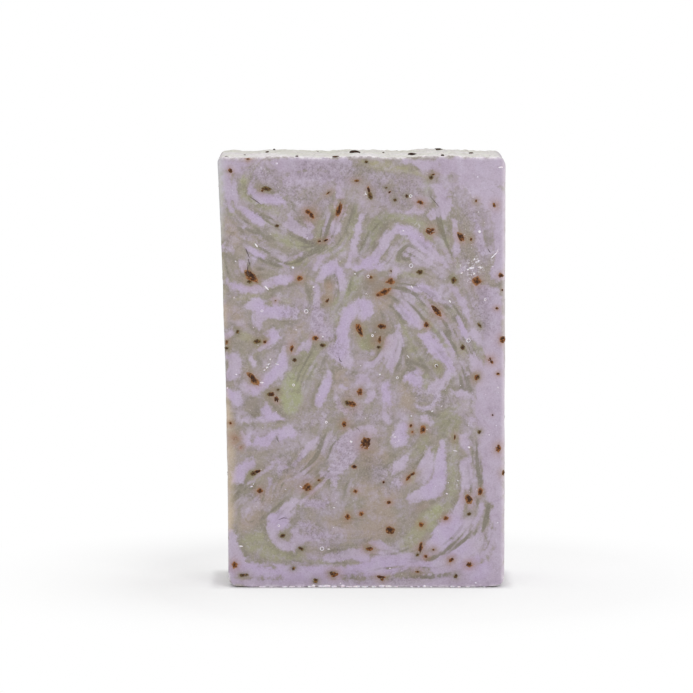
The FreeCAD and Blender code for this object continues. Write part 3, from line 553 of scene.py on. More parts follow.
# Soft stains round the flecks and alone: across, up, radius, strength, how olive
STAINS = (
    (-6.5, 62.5, 1.2, 0.5, 0), (-7.2, 59.6, 1.2, 0.6, 0), (-21.5, 51, 1.7, 0.7, 0.7),
    (-27.6, 50.8, 1.1, 0.5, 0.4), (4, 53.6, 1.7, 0.6, 0.6), (3.7, 50.9, 1.8, 0.8, 0.1),
    (2, 64.2, 1.1, 0.6, 0), (12, 65.3, 1.3, 0.6, 0.5), (19.2, 63.6, 1.1, 0.5, 0.6),
    (23.7, 63.4, 1.5, 0.7, 0.3), (-3.4, 33.9, 1.5, 0.6, 0.1), (26.7, 47.2, 1.4, 0.6, 0),
    (10.4, 33, 1.1, 0.5, 0.2), (-8.8, 22.3, 1.2, 0.5, 0.3), (11.2, 3.2, 1.7, 0.5, 0.6),
    (18.6, 5.4, 1.3, 0.5, 0.3), (12.2, 8, 1.5, 0.6, 0.1), (-24.3, 2.6, 1.3, 0.6, 0.7),
    (14.2, 73.6, 1.6, 0.6, 0.1), (22.4, 72, 1.1, 0.4, 0.2), (20.6, 72.2, 1.3, 0.5, 0),
    (27.5, 79, 1.3, 0.6, 0), (-10.4, 77.1, 1.9, 0.7, 0), (-4.6, 78, 1.6, 0.5, 0), (1.6, 81.4, 1.6, 0.6, 0.5),
    (-22.6, 63.8, 2.1, 0.6, 0.2), (0.8, 30, 2.4, 0.8, 0.3), (-18, 40, 1.7, 0.7, 0.4),
    (10.4, 23.4, 1.7, 0.7, 0.6), (-11, 20.8, 1.7, 0.8, 0.1), (-26.1, 30.9, 1.7, 0.8, 0),
    (-26.2, 4.8, 1.3, 0.7, 0), (28.6, 29, 1.5, 0.7, 0), (29, 51.4, 1.4, 0.7, 0), (29.2, 23.8, 1.2, 0.5, 0),
    (22.1, 18.5, 1.6, 0.6, 0), (5.9, 12, 1.5, 0.5, 0), (15.5, 57.1, 1.6, 0.6, 0), (13.4, 54.5, 1.2, 0.6, 0),
    (-22, 43.1, 1.8, 0.4, 0), (-2.2, 38, 2.0, 0.6, 0.1), (-1.0, 84, 1.1, 0.5, 0), (12.1, 79.6, 1.4, 0.6, 0.1),
    (14.4, 84.9, 1.2, 0.5, 0.6), (-19.8, 82.2, 1.4, 0.5, 0.7), (23.9, 43.6, 1.2, 0.5, 0.1),
    (15.5, 45.9, 1.0, 0.4, 0.6), (-5.8, 2.9, 1.4, 0.6, 0.3), (4.2, 1.9, 1.3, 0.6, 0.2),
    (1.6, 8.1, 1.4, 0.6, 0.2), (-12.7, 64.2, 1.4, 0.7, 0.1), (6, 63.3, 1.2, 0.5, 0),
    (-20.9, 20.1, 1.3, 0.6, 0), (-2.8, 14.7, 1.3, 0.6, 0.1), (-8, 50.4, 1.2, 0.5, 0.8),
    (-22, 23.8, 1.8, 0.6, 0.9), (12.8, 32.6, 1.4, 0.5, 0.3), (19.2, 31.2, 1.2, 0.4, 0),
    (24.4, 32.3, 1.1, 0.4, 0.8), (20.9, 49.4, 1.0, 0.5, 0.9),
)

# Cream soap along the left wall
CREAM = (
    ((-28.6, 42, 0.4), (-28, 36, 1.2), (-27.7, 30, 1.5), (-27.6, 26, 1.5), (-27.5, 21, 1.1), (-27.3, 16, 1.1),
     (-27.3, 12.6, 0.6)),
    ((-28.6, 58, 0.5), (-28.4, 54.6, 0.4)),
)

# Painted highlights where the edges catch the light, and the cool upper end of the left edge
EDGE_HIGHLIGHTS = (
    ((29.8, 1, 0.65), (29.8, 88, 0.65)),
    ((-27.9, 13, 0.2), (-28.3, 22, 0.5), (-28.5, 32, 0.5), (-29, 42, 0.1)),
)
COOL_EDGES = (
    ((-29.8, 88, 1.3), (-29.7, 85, 1.3), (-29.5, 80, 0.9), (-29, 73, 0.3)),
)

# Chalky, flaking parts of the cut: half width is how far each reaches
CHALKY = (
    ((20.4, 66.6, 0.8), (22.2, 66.4, 1.4), (24, 66.2, 1.2), (23.4, 68, 0.9), (22, 64, 0.9)),
    ((26.6, 67.8, 0.4), (27.4, 69, 0.5), (28.2, 70.2, 0.3)),
    ((-20.8, 86.8, 0.3), (-19.6, 85.8, 0.5)),
    ((-19.9, 45.2, 0.3), (-18.7, 46.6, 0.4)),
    ((0.6, 81.6, 0.3), (0.9, 81, 0.3)),
    ((0.4, 60.9, 0.2), (1.4, 60.4, 0.2)),
    ((11, 75.2, 0.2), (11.8, 74.6, 0.2)),
    ((22.4, 82.2, 0.3), (23, 80.8, 0.3)),
    ((6.8, 31, 0.8), (7.4, 30.4, 0.6)),
    ((19.8, 21.8, 0.3), (19.4, 21, 0.2)),
)

# Kinds of fleck: how orange, how olive, how light, how far it stains the soap
DARK = (0.25, 0.1, 0.15, 0.8)
BLACK = (0.0, 0.0, 0.0, 0.4)
RED = (0.55, 0.0, 0.3, 0.85)
ORANGE = (1.0, 0.1, 0.5, 1.0)
OLIVE = (0.2, 1.0, 0.45, 0.9)
FAINT = (0.6, 0.4, 0.9, 0.9)

# How large the chip itself is beside the whole mark that a fleck leaves
CHIP_SHARE = {DARK: 1.45, BLACK: 1.2, RED: 1.35, ORANGE: 1.2, OLIVE: 1.2, FAINT: 0.85}

# Flecks on the front: across, up, length, width, tilt in degrees, kind
FLECKS = (
    (-26.8, 86.1, 0.8, 0.7, 90, DARK), (-19.5, 82.4, 2.0, 0.9, -15, OLIVE),
    (-20.3, 82.0, 0.9, 0.6, 10, FAINT), (-10.3, 77.1, 1.7, 0.7, -55, RED),
    (-10.9, 77.6, 1.3, 0.9, -20, ORANGE), (-4.6, 78.0, 2.8, 0.8, 72, RED), (-17.3, 74.8, 0.8, 0.6, 0, OLIVE),
    (-1.0, 84.0, 1.6, 0.6, 0, FAINT), (1.8, 81.0, 1.7, 0.8, -72, OLIVE), (1.5, 82.2, 1.1, 0.4, -80, DARK),
    (5.8, 81.7, 0.7, 0.35, 40, BLACK), (5.1, 82.6, 0.6, 0.3, 20, OLIVE), (6.9, 80.1, 0.7, 0.5, 0, OLIVE),
    (9.3, 80.9, 0.7, 0.6, 0, OLIVE), (12.1, 79.6, 1.5, 0.7, -20, ORANGE), (14.3, 84.7, 0.8, 0.7, 30, OLIVE),
    (14.7, 85.3, 1.0, 0.4, 20, FAINT), (14.2, 73.7, 1.8, 1.4, 10, RED), (20.3, 72.5, 2.0, 0.8, -57, DARK),
    (20.5, 72.2, 1.3, 0.9, -50, ORANGE), (22.5, 72.0, 0.9, 1.0, 0, FAINT), (27.2, 79.1, 0.8, 0.4, -70, DARK),
    (-23.2, 88.5, 0.6, 0.25, 0, RED), (-22.6, 64.5, 2.7, 1.0, -45, DARK),
    (-22.4, 63.8, 2.4, 0.7, -20, ORANGE), (-22.9, 63.3, 1.0, 0.6, 0, OLIVE),
    (-12.7, 64.0, 1.1, 0.9, 0, ORANGE), (-8.6, 71.6, 0.6, 0.3, 0, DARK), (-7.3, 71.8, 0.9, 0.3, 30, DARK),
    (-6.8, 81.5, 1.4, 0.4, 35, FAINT), (12.0, 65.3, 1.2, 0.9, 0, OLIVE), (19.0, 63.6, 1.2, 0.9, 60, OLIVE),
    (23.7, 63.4, 1.5, 1.3, 0, RED), (28.6, 64.6, 0.8, 0.7, 0, DARK), (2.0, 64.2, 0.9, 0.7, 0, FAINT),
    (5.9, 63.3, 1.4, 0.8, 10, RED), (6.1, 65.5, 0.4, 0.25, -40, BLACK), (1.0, 87.9, 0.7, 0.5, 0, OLIVE),
    (23.5, 79.9, 0.5, 0.6, 0, FAINT), (4.6, 61.1, 2.5, 0.8, 24, RED), (3.5, 60.6, 0.9, 0.6, 10, RED),
    (15.3, 57.5, 2.2, 0.8, -48, DARK), (15.7, 56.9, 1.9, 0.9, -50, ORANGE), (13.4, 54.4, 1.0, 0.8, 90, RED),
    (4.2, 54.1, 1.6, 0.8, -5, DARK), (3.8, 51.4, 2.4, 0.9, 85, FAINT), (3.6, 49.8, 0.9, 0.6, 0, OLIVE),
    (-0.3, 53.2, 1.9, 0.7, -72, DARK), (-0.6, 53.8, 1.8, 0.9, -72, ORANGE),
    (24.3, 54.3, 1.2, 0.5, -48, OLIVE), (29.0, 51.6, 0.8, 0.8, 90, DARK), (29.0, 51.1, 0.9, 0.8, 90, ORANGE),
    (-9.4, 51.7, 1.1, 0.7, 0, RED), (-14.3, 49.6, 1.3, 0.6, 85, ORANGE), (-13.7, 47.2, 1.0, 0.8, -10, OLIVE),
    (26.6, 47.1, 1.6, 0.9, -40, RED), (23.9, 43.7, 1.0, 0.7, 80, OLIVE), (23.7, 43.6, 1.2, 0.8, 80, ORANGE),
    (28.1, 44.3, 0.6, 0.4, 0, DARK), (27.8, 57.8, 0.6, 0.35, 0, DARK), (28.9, 61.6, 0.4, 0.35, 0, BLACK),
    (-22.3, 43.4, 2.5, 0.85, -52, DARK), (-21.8, 42.9, 2.1, 0.8, -52, ORANGE),
    (-18.4, 40.1, 1.1, 0.7, 20, DARK), (-17.4, 39.1, 1.2, 0.7, -75, DARK), (-18.9, 40.1, 1.1, 0.7, 0, OLIVE),
    (-17.1, 41.0, 0.7, 0.4, 30, OLIVE), (-2.9, 38.3, 1.2, 0.8, -30, OLIVE), (-1.6, 37.9, 1.0, 0.7, 10, RED),
    (-2.2, 38.2, 1.9, 1.0, -18, ORANGE), (-0.3, 40.5, 1.2, 0.8, 90, RED), (12.7, 32.8, 1.4, 0.8, 80, RED),
    (-25.4, 53.0, 0.9, 0.6, 80, OLIVE), (-21.4, 51.0, 1.6, 0.8, 10, OLIVE), (-19.8, 50.9, 0.6, 0.5, 0, DARK),
    (-27.6, 50.8, 1.4, 0.6, 80, FAINT), (-27.6, 49.6, 0.7, 0.4, 0, OLIVE), (-7.0, 59.4, 1.4, 0.8, 40, FAINT),
    (-8.0, 50.2, 1.2, 0.7, 0, OLIVE), (15.5, 45.9, 0.5, 0.4, 0, OLIVE), (-26.9, 34.1, 0.6, 0.5, 0, ORANGE),
    (-3.5, 33.9, 1.3, 0.9, 80, ORANGE), (20.8, 49.8, 1.2, 0.8, 90, OLIVE), (27.0, 35.8, 0.35, 0.3, 0, BLACK),
    (-26.0, 30.9, 1.2, 1.0, 0, ORANGE), (-24.7, 29.2, 0.6, 0.4, 70, RED), (0.9, 30.1, 2.2, 1.7, 60, DARK),
    (0.5, 29.4, 1.7, 1.2, 20, ORANGE), (1.2, 30.6, 0.8, 0.5, 70, BLACK), (0.2, 30.4, 0.7, 0.4, 40, BLACK),
    (28.3, 29.1, 1.2, 0.8, 80, RED), (28.2, 28.8, 1.5, 1.0, 80, ORANGE), (29.2, 23.8, 1.3, 0.7, 80, FAINT),
    (-21.4, 24.1, 1.3, 0.6, 10, BLACK), (-22.2, 23.7, 1.3, 0.8, 10, OLIVE), (9.7, 22.8, 1.7, 0.6, 52, ORANGE),
    (10.6, 23.6, 0.9, 0.5, 30, DARK), (-11.0, 20.8, 1.3, 0.8, 10, DARK), (-11.2, 20.8, 1.8, 1.4, 0, ORANGE),
    (-8.7, 22.3, 0.9, 0.6, 0, FAINT), (-1.4, 25.1, 1.0, 0.7, 0, BLACK), (-1.2, 20.0, 0.6, 0.5, 0, RED),
    (-20.9, 20.1, 1.1, 0.9, 0, ORANGE), (-20.7, 20.2, 0.6, 0.5, 0, DARK), (24.5, 19.9, 1.2, 0.7, 75, RED),
    (22.1, 18.4, 1.7, 1.0, -80, DARK), (22.2, 15.3, 0.9, 0.6, 30, OLIVE), (5.7, 17.7, 0.8, 0.6, 20, RED),
    (4.6, 21.9, 0.45, 0.4, 0, BLACK), (-2.8, 14.7, 1.1, 0.9, 70, ORANGE), (0.0, 15.3, 0.8, 0.6, 40, RED),
    (-16.2, 10.8, 1.2, 0.8, 30, OLIVE), (-12.4, 8.1, 1.3, 0.6, -30, OLIVE),
    (17.4, 14.4, 1.0, 0.7, 30, ORANGE), (12.4, 13.1, 1.0, 0.8, 0, ORANGE), (5.9, 11.9, 1.7, 1.2, -40, DARK),
    (12.2, 8.2, 2.0, 0.7, 75, RED), (13.3, 6.5, 0.8, 0.6, 0, ORANGE), (11.6, 6.8, 0.8, 0.5, 30, OLIVE),
    (14.9, 7.9, 0.8, 0.6, 0, FAINT), (1.7, 8.1, 1.9, 0.8, 0, ORANGE), (1.4, 8.0, 0.8, 0.5, 0, OLIVE),
    (18.5, 5.7, 1.1, 0.7, 40, ORANGE), (18.8, 5.9, 0.5, 0.4, 0, DARK), (22.3, 4.8, 0.9, 0.8, 0, DARK),
    (22.3, 4.8, 1.3, 1.0, 0, ORANGE), (19.5, 2.4, 0.9, 0.7, 60, OLIVE), (-26.1, 4.7, 1.4, 1.0, 90, ORANGE),
    (-14.0, 4.0, 0.8, 0.7, 30, OLIVE), (-24.3, 2.6, 2.0, 0.6, 0, OLIVE), (-6.0, 3.0, 1.2, 0.8, 0, OLIVE),
    (-5.6, 2.8, 1.7, 1.1, 0, ORANGE), (-9.4, 1.4, 1.0, 0.9, 0, OLIVE), (4.0, 2.2, 1.7, 0.5, -5, DARK),
    (4.3, 1.7, 1.3, 0.7, 0, FAINT), (11.6, 3.3, 1.2, 0.7, 0, FAINT), (24.3, 32.3, 0.8, 0.6, 70, OLIVE),
    (10.2, 33.6, 0.5, 0.4, 60, RED), (10.5, 32.3, 0.35, 0.3, 0, RED), (19.2, 31.2, 1.6, 0.5, 85, FAINT),
    (-17.6, 59.4, 0.5, 0.3, 0, FAINT),
)

# Buds and bits of herb on the poured top: across, share of the depth from the front,
# length, width, turn, kind
TOP_BUDS = (
    (-1.4, 0.40, 2.1, 1.3, 8, BLACK), (-0.7, 0.42, 1.0, 0.9, -20, DARK), (10.5, 0.30, 2.0, 0.8, -30, BLACK),
    (16.3, 0.80, 1.5, 0.8, 12, OLIVE), (-19.5, 0.62, 0.8, 0.5, 40, FAINT), (22.8, 0.55, 1.0, 0.5, -15, RED),
    (-27.6, 0.03, 0.8, 0.35, 0, OLIVE), (-13.2, 0.02, 0.6, 0.45, 0, OLIVE),
    (-5.2, 0.015, 1.5, 0.4, 0, ORANGE), (16.6, 0.02, 0.7, 0.5, 0, OLIVE), (16.0, 0.95, 1.4, 0.5, 10, OLIVE),
    (-18.2, 0.96, 0.5, 0.4, 0, DARK), (7.5, 0.9, 0.5, 0.4, 0, FAINT), (26.4, 0.1, 0.5, 0.3, 0, FAINT),
    (-9, 0.75, 0.6, 0.4, 50, FAINT), (4.6, 0.6, 0.7, 0.4, 70, FAINT), (19.2, 0.35, 0.5, 0.4, 20, FAINT),
    (-24, 0.3, 0.6, 0.4, 35, FAINT),
)

# Shreds of soap along the foot of the front, partly a painted highlight where the bottom edge catches the
# light: across, length, height
FOOT_SHREDS_AND_HIGHLIGHT = (
    (-20.4, 1.5, 0.22), (-18.6, 0.8, 0.18), (-15.8, 1.1, 0.26), (-14.3, 1.3, 0.24), (-12.8, 0.8, 0.2),
    (-10.6, 0.9, 0.3), (-9.8, 0.7, 0.55), (-8.2, 1.4, 0.42), (-7.1, 1.6, 0.5), (-5.6, 1.2, 0.3),
    (-3.8, 0.9, 0.6), (-2.6, 1.4, 0.3), (-1.0, 1.6, 0.34), (0.7, 1.4, 0.26), (2.6, 1.0, 0.3), (4.2, 1.3, 0.5),
    (5.6, 1.4, 0.4), (7.2, 0.9, 0.22), (10.4, 0.6, 0.26), (11.8, 0.5, 0.28), (13.0, 0.7, 0.36),
    (14.4, 0.4, 0.22), (18.8, 1.1, 0.26), (20.2, 0.8, 0.22), (22.0, 0.8, 0.2), (25.4, 0.6, 0.16),
)

# Flakes that stand on the front: across, up, length, width, tilt
CRUMBS = (
    (-21.5, 70.8, 1.1, 0.45, -50), (-19.4, 62.0, 1.4, 0.35, -48), (-19.9, 45.1, 0.5, 0.35, 40),
    (-19.4, 45.6, 0.6, 0.4, 50), (-19.0, 46.3, 0.7, 0.3, 60), (-18.7, 47.3, 0.4, 0.3, 0),
    (-17.3, 46.3, 0.9, 0.3, -20), (-20.4, 42.5, 0.9, 0.3, -5), (-24.8, 8.6, 1.2, 0.35, -3),
    (-6.7, 8.0, 0.7, 0.35, -5), (-22.6, 21.0, 0.7, 0.3, 20), (-22.2, 21.5, 0.35, 0.2, 60),
    (-12.4, 20.9, 0.8, 0.25, -35), (-5.6, 16.6, 0.7, 0.2, -10), (-2.1, 30.3, 0.8, 0.5, -10),
    (28.5, 86.8, 1.2, 0.4, 8), (27.3, 68.8, 2.6, 0.35, 45), (28.0, 69.8, 0.9, 0.3, 50),
    (-17.3, 87.6, 0.5, 0.45, 0), (-14.0, 66.2, 0.7, 0.5, -15), (-9.8, 62.2, 0.4, 0.35, 0),
    (-1.3, 64.9, 0.5, 0.35, 0), (-7.9, 52.0, 0.5, 0.45, 0), (8.6, 73.8, 0.4, 0.35, 0),
    (23.8, 84.8, 0.35, 0.35, 0), (24.2, 73.6, 0.45, 0.5, 0), (0.9, 81.3, 0.7, 0.4, -40),
    (22.6, 66.1, 1.4, 0.5, 5), (24.0, 67.6, 0.7, 0.4, 20), (23.2, 68.0, 0.5, 0.3, -60),
    (21.9, 65.8, 0.6, 0.4, 30), (24.2, 66.3, 0.9, 0.25, 0), (20.6, 65.1, 0.6, 0.3, 20),
    (26.9, 66.4, 0.5, 0.2, 10), (23.1, 64.9, 0.5, 0.3, 60), (10.4, 62.2, 0.8, 0.3, -55),
    (9.6, 47.9, 0.8, 0.25, -50), (3.8, 44.2, 0.6, 0.35, 15), (28.1, 41.5, 0.3, 0.4, 0),
    (22.2, 29.1, 0.5, 0.6, 90), (19.3, 28.4, 1.0, 0.2, -10), (19.9, 22.2, 0.4, 0.3, 0),
    (17.6, 19.5, 0.35, 0.6, 80), (17.9, 21.8, 0.25, 0.3, 0), (28.1, 13.5, 0.3, 0.5, 90),
    (23.6, 1.0, 0.5, 0.35, -30), (13.1, 0.4, 0.5, 0.35, 0), (-4.3, 0.9, 0.4, 0.4, 0),
    (5.9, 4.0, 0.35, 0.3, 0), (10.3, 35.6, 0.4, 0.3, 0), (14.6, 36.6, 0.5, 0.25, 40),
    (-26.1, 60.0, 0.3, 0.3, 0), (-25.8, 67.5, 0.4, 0.4, 0), (-25.7, 44.2, 0.5, 0.35, 0),
    (16.5, 37.6, 0.5, 0.25, 50), (26.3, 31.7, 0.3, 0.3, 0), (-15.6, 20.4, 0.2, 0.5, 60),
    (-27.5, 41.4, 0.3, 0.4, 0), (18.2, 59.2, 0.8, 0.3, -60),
)

# Burst bubbles: across, up, radius of the rim
BUBBLES = (
    (-11.3, 57.2, 0.36), (10.2, 66.6, 0.36), (22.0, 51.2, 0.36), (10.1, 80.9, 0.26), (24.2, 73.6, 0.22),
    (-8.1, 8.1, 0.36), (-13.9, 42.0, 0.22), (15.4, 46.0, 0.26), (7.4, 43.5, 0.22), (1.4, 64.4, 0.24),
    (2.3, 52.2, 0.2), (-17.0, 12.9, 0.2), (25.4, 59.6, 0.2), (-20.4, 57.3, 0.22), (-7.2, 34.3, 0.2),
)

# Thin cracks and fibres, the dark of the cracks a painted shadow: radius, then points
CRACKS = (
    (0.07, ((-23.7, 70.1), (-23.3, 69.1), (-22.95, 68.2))),
    (0.06, ((-23.2, 68.0), (-23.0, 67.3), (-22.8, 66.6))),
    (0.07, ((-23.2, 66.8), (-23.35, 65.8), (-23.2, 64.6), (-22.7, 64.8))),
    (0.05, ((14.1, 80.8), (15.0, 79.8), (15.9, 78.7))),
    (0.05, ((-22.9, 80.8), (-21.6, 79.9), (-20.6, 79.2))),
    (0.05, ((-17.0, 14.1), (-16.0, 14.5), (-15.2, 14.4))),
    (0.04, ((-17.4, 31.5), (-17.3, 30.7), (-16.9, 30.2))),
    (0.04, ((-1.4, 33.3), (-0.6, 32.9), (-0.2, 32.3))),
    (0.05, ((-4.5, 47.6), (-4.4, 47.0), (-4.0, 46.8))),
    (0.05, ((25.9, 70.1), (26.2, 69.6), (26.5, 69.2))),
)

# The colours of the materials, each as red, green and blue from 0 to 255
TONES = {
    "lavender": (180, 166, 184),
    "dull lavender": (174, 159, 178),
    "pure lavender": (180, 163, 192),
    "light lavender": (188, 177, 196),
    "deep lavender": (162, 146, 166),
    "crumbly lavender": (142, 128, 138),
    "taupe": (148, 140, 127),
    "pink taupe": (155, 144, 137),
    "grey taupe": (143, 135, 124),
    "light taupe": (170, 156, 150),
    "warm taupe": (162, 146, 134),
    "green leaf": (149, 155, 124),
    "yellow leaf": (166, 159, 120),
    "swirl outline": (122, 115, 98),
    "dark streak": (118, 112, 98),
    "light streak": (184, 174, 184),
    "dark cloud": (118, 108, 94),
    # darker soap, and the painted shadow line along the foot
    "darker_tone_and_foot_shadow": (98, 88, 70),
    "cream": (206, 186, 160),
    "pale rust": (156, 118, 86),
    "deep rust": (134, 88, 50),
    "pale moss": (132, 122, 92),
    "deep moss": (104, 92, 62),
    "chalk": (218, 211, 219),
    "speck": (120, 108, 112),
    "dark grain": (104, 92, 98),
    "light grain": (224, 216, 228),
    "cool edge": (196, 196, 200),
    "painted edge highlight": (234, 225, 232),
    # painted highlight in the edges
    "dust": (230, 228, 220),
    "light dust": (240, 236, 236),
    "dust at the back": (206, 206, 190),
    # wear and painted highlight along the front's rim
    "worn rim and painted highlight": (240, 235, 238),
    "dark herb": (66, 40, 28),
    "faded herb": (122, 92, 70),
    "orange herb": (172, 104, 50),
    "olive herb": (112, 96, 60),
    "herb fibre": (44, 26, 18),
    "herb speck": (168, 112, 62),
    "rusty border": (158, 114, 78),
    "olive border": (128, 116, 84),
    "dark middle": (50, 30, 20),
    # pale dry soap, also the colour of painted glints and highlights
    "light flake and painted glint": (246, 240, 244),
    "lavender flake": (222, 212, 224),
    # painted shadow in the cracks, and dark fibres
    "dark crack": (70, 58, 56),
    "light crack": (104, 92, 90),
    "floor": (250, 250, 250),
}

# The grid that holds the way the swirl runs, and how far a stroke steers it
FLOW_CELL = 1.0
FLOW_ORIGIN = (-36.0, -3.0)
FLOW_REACH = 1.8
FAR_FLOW = 1e-4  # the weight of strokes that are far off

# Flecks on the faces that the front view does not show
BACK_FLECKS = 90
WALL_FLECKS = 30
BASE_FLECKS = 22
FLECK_MARGIN = 1.6
SEED = 11

# Painted glints, as specks of dry soap all over the front, too small to place one by one: how many, and
# the left, right, lower and upper ends of where they lie
GLINT_FLAKES = 110
GLINT_FIELD = (-26.5, 28.5, 2, 87)

# How far the small pieces stand out of the front, in millimetres; half the thickness of a
# bubble's rim; how deep a shred is; and the gap between the floor and a shred
CRUMB_HEIGHT = 0.09
GLINT_HEIGHT = 0.05
CRACK_HEIGHT = 0.02
RIM_RADIUS = 0.07
SHRED_DEPTH = 0.45
SHRED_GAP = 0.06

# The rings of a patch: how far out each is, and how high; and the corners of a ring
PATCH_RINGS = ((0.38, 1.0), (0.74, 0.75), (1.0, -0.9))
PATCH_SIDES = 14

# Directions: out of the front, into the depth, across and up
FRONT = np.array([0.0, -1.0, 0.0])
INWARD = np.array([0.0, 1.0, 0.0])
ACROSS = np.array([1.0, 0.0, 0.0])
UP = np.array([0.0, 0.0, 1.0])

# The camera: a long lens far in front of the bar and a little above it, aimed slightly down
CAMERA_PLACE = (-3.04, -1012.5, 144.0)
CAMERA_AIM = (-3.04, -12.5, 49.95)
SENSOR = 36.0
VIEW_WIDTH = 142.3  # millimetres that the picture spans at the aim

# The floor: its half size, how far from the middle it turns white, how far the part beside
# the bar is lifted towards white, and how wide the shadow line at the bar's foot stays
FLOOR_HALF_SIZE = 4000.0
WHITE_FROM = 20.0
WHITE_BY = 92.0
FLOOR_GLOW = 0.62
LEFT_GLOW = 0.3
GLOW_TURNS_FROM = -45.0
GLOW_TURNS_BY = -15.0
CONTACT_REACH = 2.6

# Light: the world's strength; then each softbox's name, place, width and height in metres
# and power in watts, all aimed at the middle of the bar
WORLD_LIGHT = 0.5
SOFTBOX_AIM = (0, 0, 0.045)
SOFTBOXES = (
    ("left_softbox", (-0.5, -0.95, 0.55), 0.5, 0.5, 1.9),
    ("right_softbox", (0.5, -0.95, 0.55), 0.5, 0.5, 3.9),
    ("top_softbox", (0.0, 0.25, 1.3), 1.2, 0.8, 6.5),
)


def left_wall(z):
    """How far left the left wall stands at a height."""
    return WALL_LEAN - RIGHT - WALL_LEAN * (z / MEAN_TOP) ** 2


def top_level(x):
    """Height of the poured top: arcs that swell and sink by turns."""
    share = np.clip(x / WIDTH + 0.5, 0, 1)
    level = np.full_like(share, MEAN_TOP)
    for i, (start, end) in enumerate(zip(RIPPLE_PLACES, RIPPLE_PLACES[1:])):
        inside = (share >= start) & (share <= end)
        rise = RIPPLE_SLOPE * (end - start) * WIDTH / 4 * (1 if i % 2 else -1)
        from_middle = (2 * share - start - end) / (end - start)
        level = np.where(inside, MEAN_TOP + rise * (1 - from_middle ** 2), level)
    return level


def section_points(across, up, inset):
    """Places in the section from shares across and up it, with its corners rounded."""
    z = inset + up * (MEAN_TOP - 2 * inset)
    left = left_wall(z) + inset
    x = left + across * (RIGHT - inset - left)
    top = top_level(x) - inset
    z = inset + up * (top - inset)
    top_radius = np.where(across < 0.5, TOP_RADIUS, TOP_RIGHT_RADIUS)
    radius = np.maximum(np.where(up < 0.5, BASE_RADIUS, top_radius) - inset, 0.2)
    from_side = np.minimum(x - left, RIGHT - inset - x)
    from_end = np.minimum(z - inset, top - z)
    side = np.clip(1 - from_side / radius, 0, 1)
    end = np.clip(1 - from_end / radius, 0, 1)
    inward_x = radius * (side - side * np.sqrt(1 - end ** 2 / 2))
    inward_z = radius * (end - end * np.sqrt(1 - side ** 2 / 2))
    x = x + inward_x * np.where(across < 0.5, 1, -1)
    z = z + inward_z * np.where(up < 0.5, 1, -1)
    return x, z


def border_shares(cells_across, cells_up):
    """Shares across and up of the points round a grid's border, anticlockwise from the lower left."""
    across = [i / cells_across for i in range(cells_across)] + [1.0] * cells_up
    up = [0.0] * cells_across + [j / cells_up for j in range(cells_up)]
    across += [1 - i / cells_across for i in range(cells_across)] + [0.0] * cells_up
    up += [1.0] * cells_across + [1 - j / cells_up for j in range(cells_up)]
    return np.array(across), np.array(up)


def border_indices(cells_across, cells_up):
    """Indices of the same points in a grid that is stored row by row."""
    row = cells_across + 1
    lower = list(range(cells_across))
    right = [j * row + cells_across for j in range(cells_up)]
    upper = [cells_up * row + cells_across - i for i in range(cells_across)]
    left = [(cells_up - j) * row for j in range(cells_up)]
    return np.array(lower + right + upper + left)


def waves(points, wavelength, seed, count=9):
    """A smooth random field between about -1 and 1, made of plane waves."""
    rng = np.random.default_rng(seed)
    total = np.zeros(len(points))
    for _ in range(count):
        direction = rng.normal(size=3)
        direction /= np.linalg.norm(direction)
        stretch = rng.uniform(0.7, 1.5)
        phase = rng.uniform(0, 2 * math.pi)
        total += np.sin(points @ direction * (2 * math.pi * stretch / wavelength) + phase)
    return total / math.sqrt(count)


def layered(points, layers):
    """The sum of several waves, each with its height, wavelength and seed."""
    return sum(height * waves(points, wavelength, seed) for height, wavelength, seed in layers)


def stroke_field(x, z, strokes):
    """Millimetres inside the nearest of the strokes; negative outside them."""
    field = np.full(len(x), -99.0)
    for stroke in strokes:
        for (x0, z0, w0), (x1, z1, w1) in zip(stroke, stroke[1:]):
            dx, dz = x1 - x0, z1 - z0
            share = np.clip(((x - x0) * dx + (z - z0) * dz) / (dx * dx + dz * dz), 0, 1)
            distance = np.hypot(x - x0 - share * dx, z - z0 - share * dz)
            field = np.maximum(field, w0 + share * (w1 - w0) - distance)
    return field


def soft(field, reach):
    """Turns millimetres inside a shape into a weight from 0 to 1."""
    share = np.clip(0.5 + field / (2 * reach), 0, 1)
    return share * share * (3 - 2 * share)


def sampled(grid, origin, cell, x, z):
    """Values of a grid of numbers between its corners, at places in millimetres."""
    column = np.clip((x - origin[0]) / cell, 0, grid.shape[1] - 1.001)
    row = np.clip((z - origin[1]) / cell, 0, grid.shape[0] - 1.001)
    i, j = column.astype(int), row.astype(int)
    u, v = column - i, row - j
    lower = grid[j, i] * (1 - u) + grid[j, i + 1] * u
    upper = grid[j + 1, i] * (1 - u) + grid[j + 1, i + 1] * u
    return lower * (1 - v) + upper * v


def swirl_directions():
    """The way the swirl runs, on a coarse grid: cosine and sine of twice its angle from level."""
    across = np.arange(FLOW_ORIGIN[0], -FLOW_ORIGIN[0] + FLOW_CELL, FLOW_CELL)
    up = np.arange(FLOW_ORIGIN[1], TOP - FLOW_ORIGIN[1], FLOW_CELL)
    x, z = np.meshgrid(across, up)
    cosine, sine = np.zeros_like(x), np.zeros_like(x)
    strokes = list(LAVENDER) + list(FLOW_LINES) + [stroke for _, _, stroke in GREENS]
    for stroke in strokes:
        for (x0, z0, _), (x1, z1, _) in zip(stroke, stroke[1:]):
            dx, dz = x1 - x0, z1 - z0
            share = np.clip(((x - x0) * dx + (z - z0) * dz) / (dx * dx + dz * dz), 0, 1)
            squared = (x - x0 - share * dx) ** 2 + (z - z0 - share * dz) ** 2
            weight = np.exp(-squared / (2 * FLOW_REACH ** 2)) + FAR_FLOW / (1 + squared)
            angle = 2 * math.atan2(dz, dx)
            cosine += weight * math.cos(angle)
            sine += weight * math.sin(angle)
    return cosine, sine


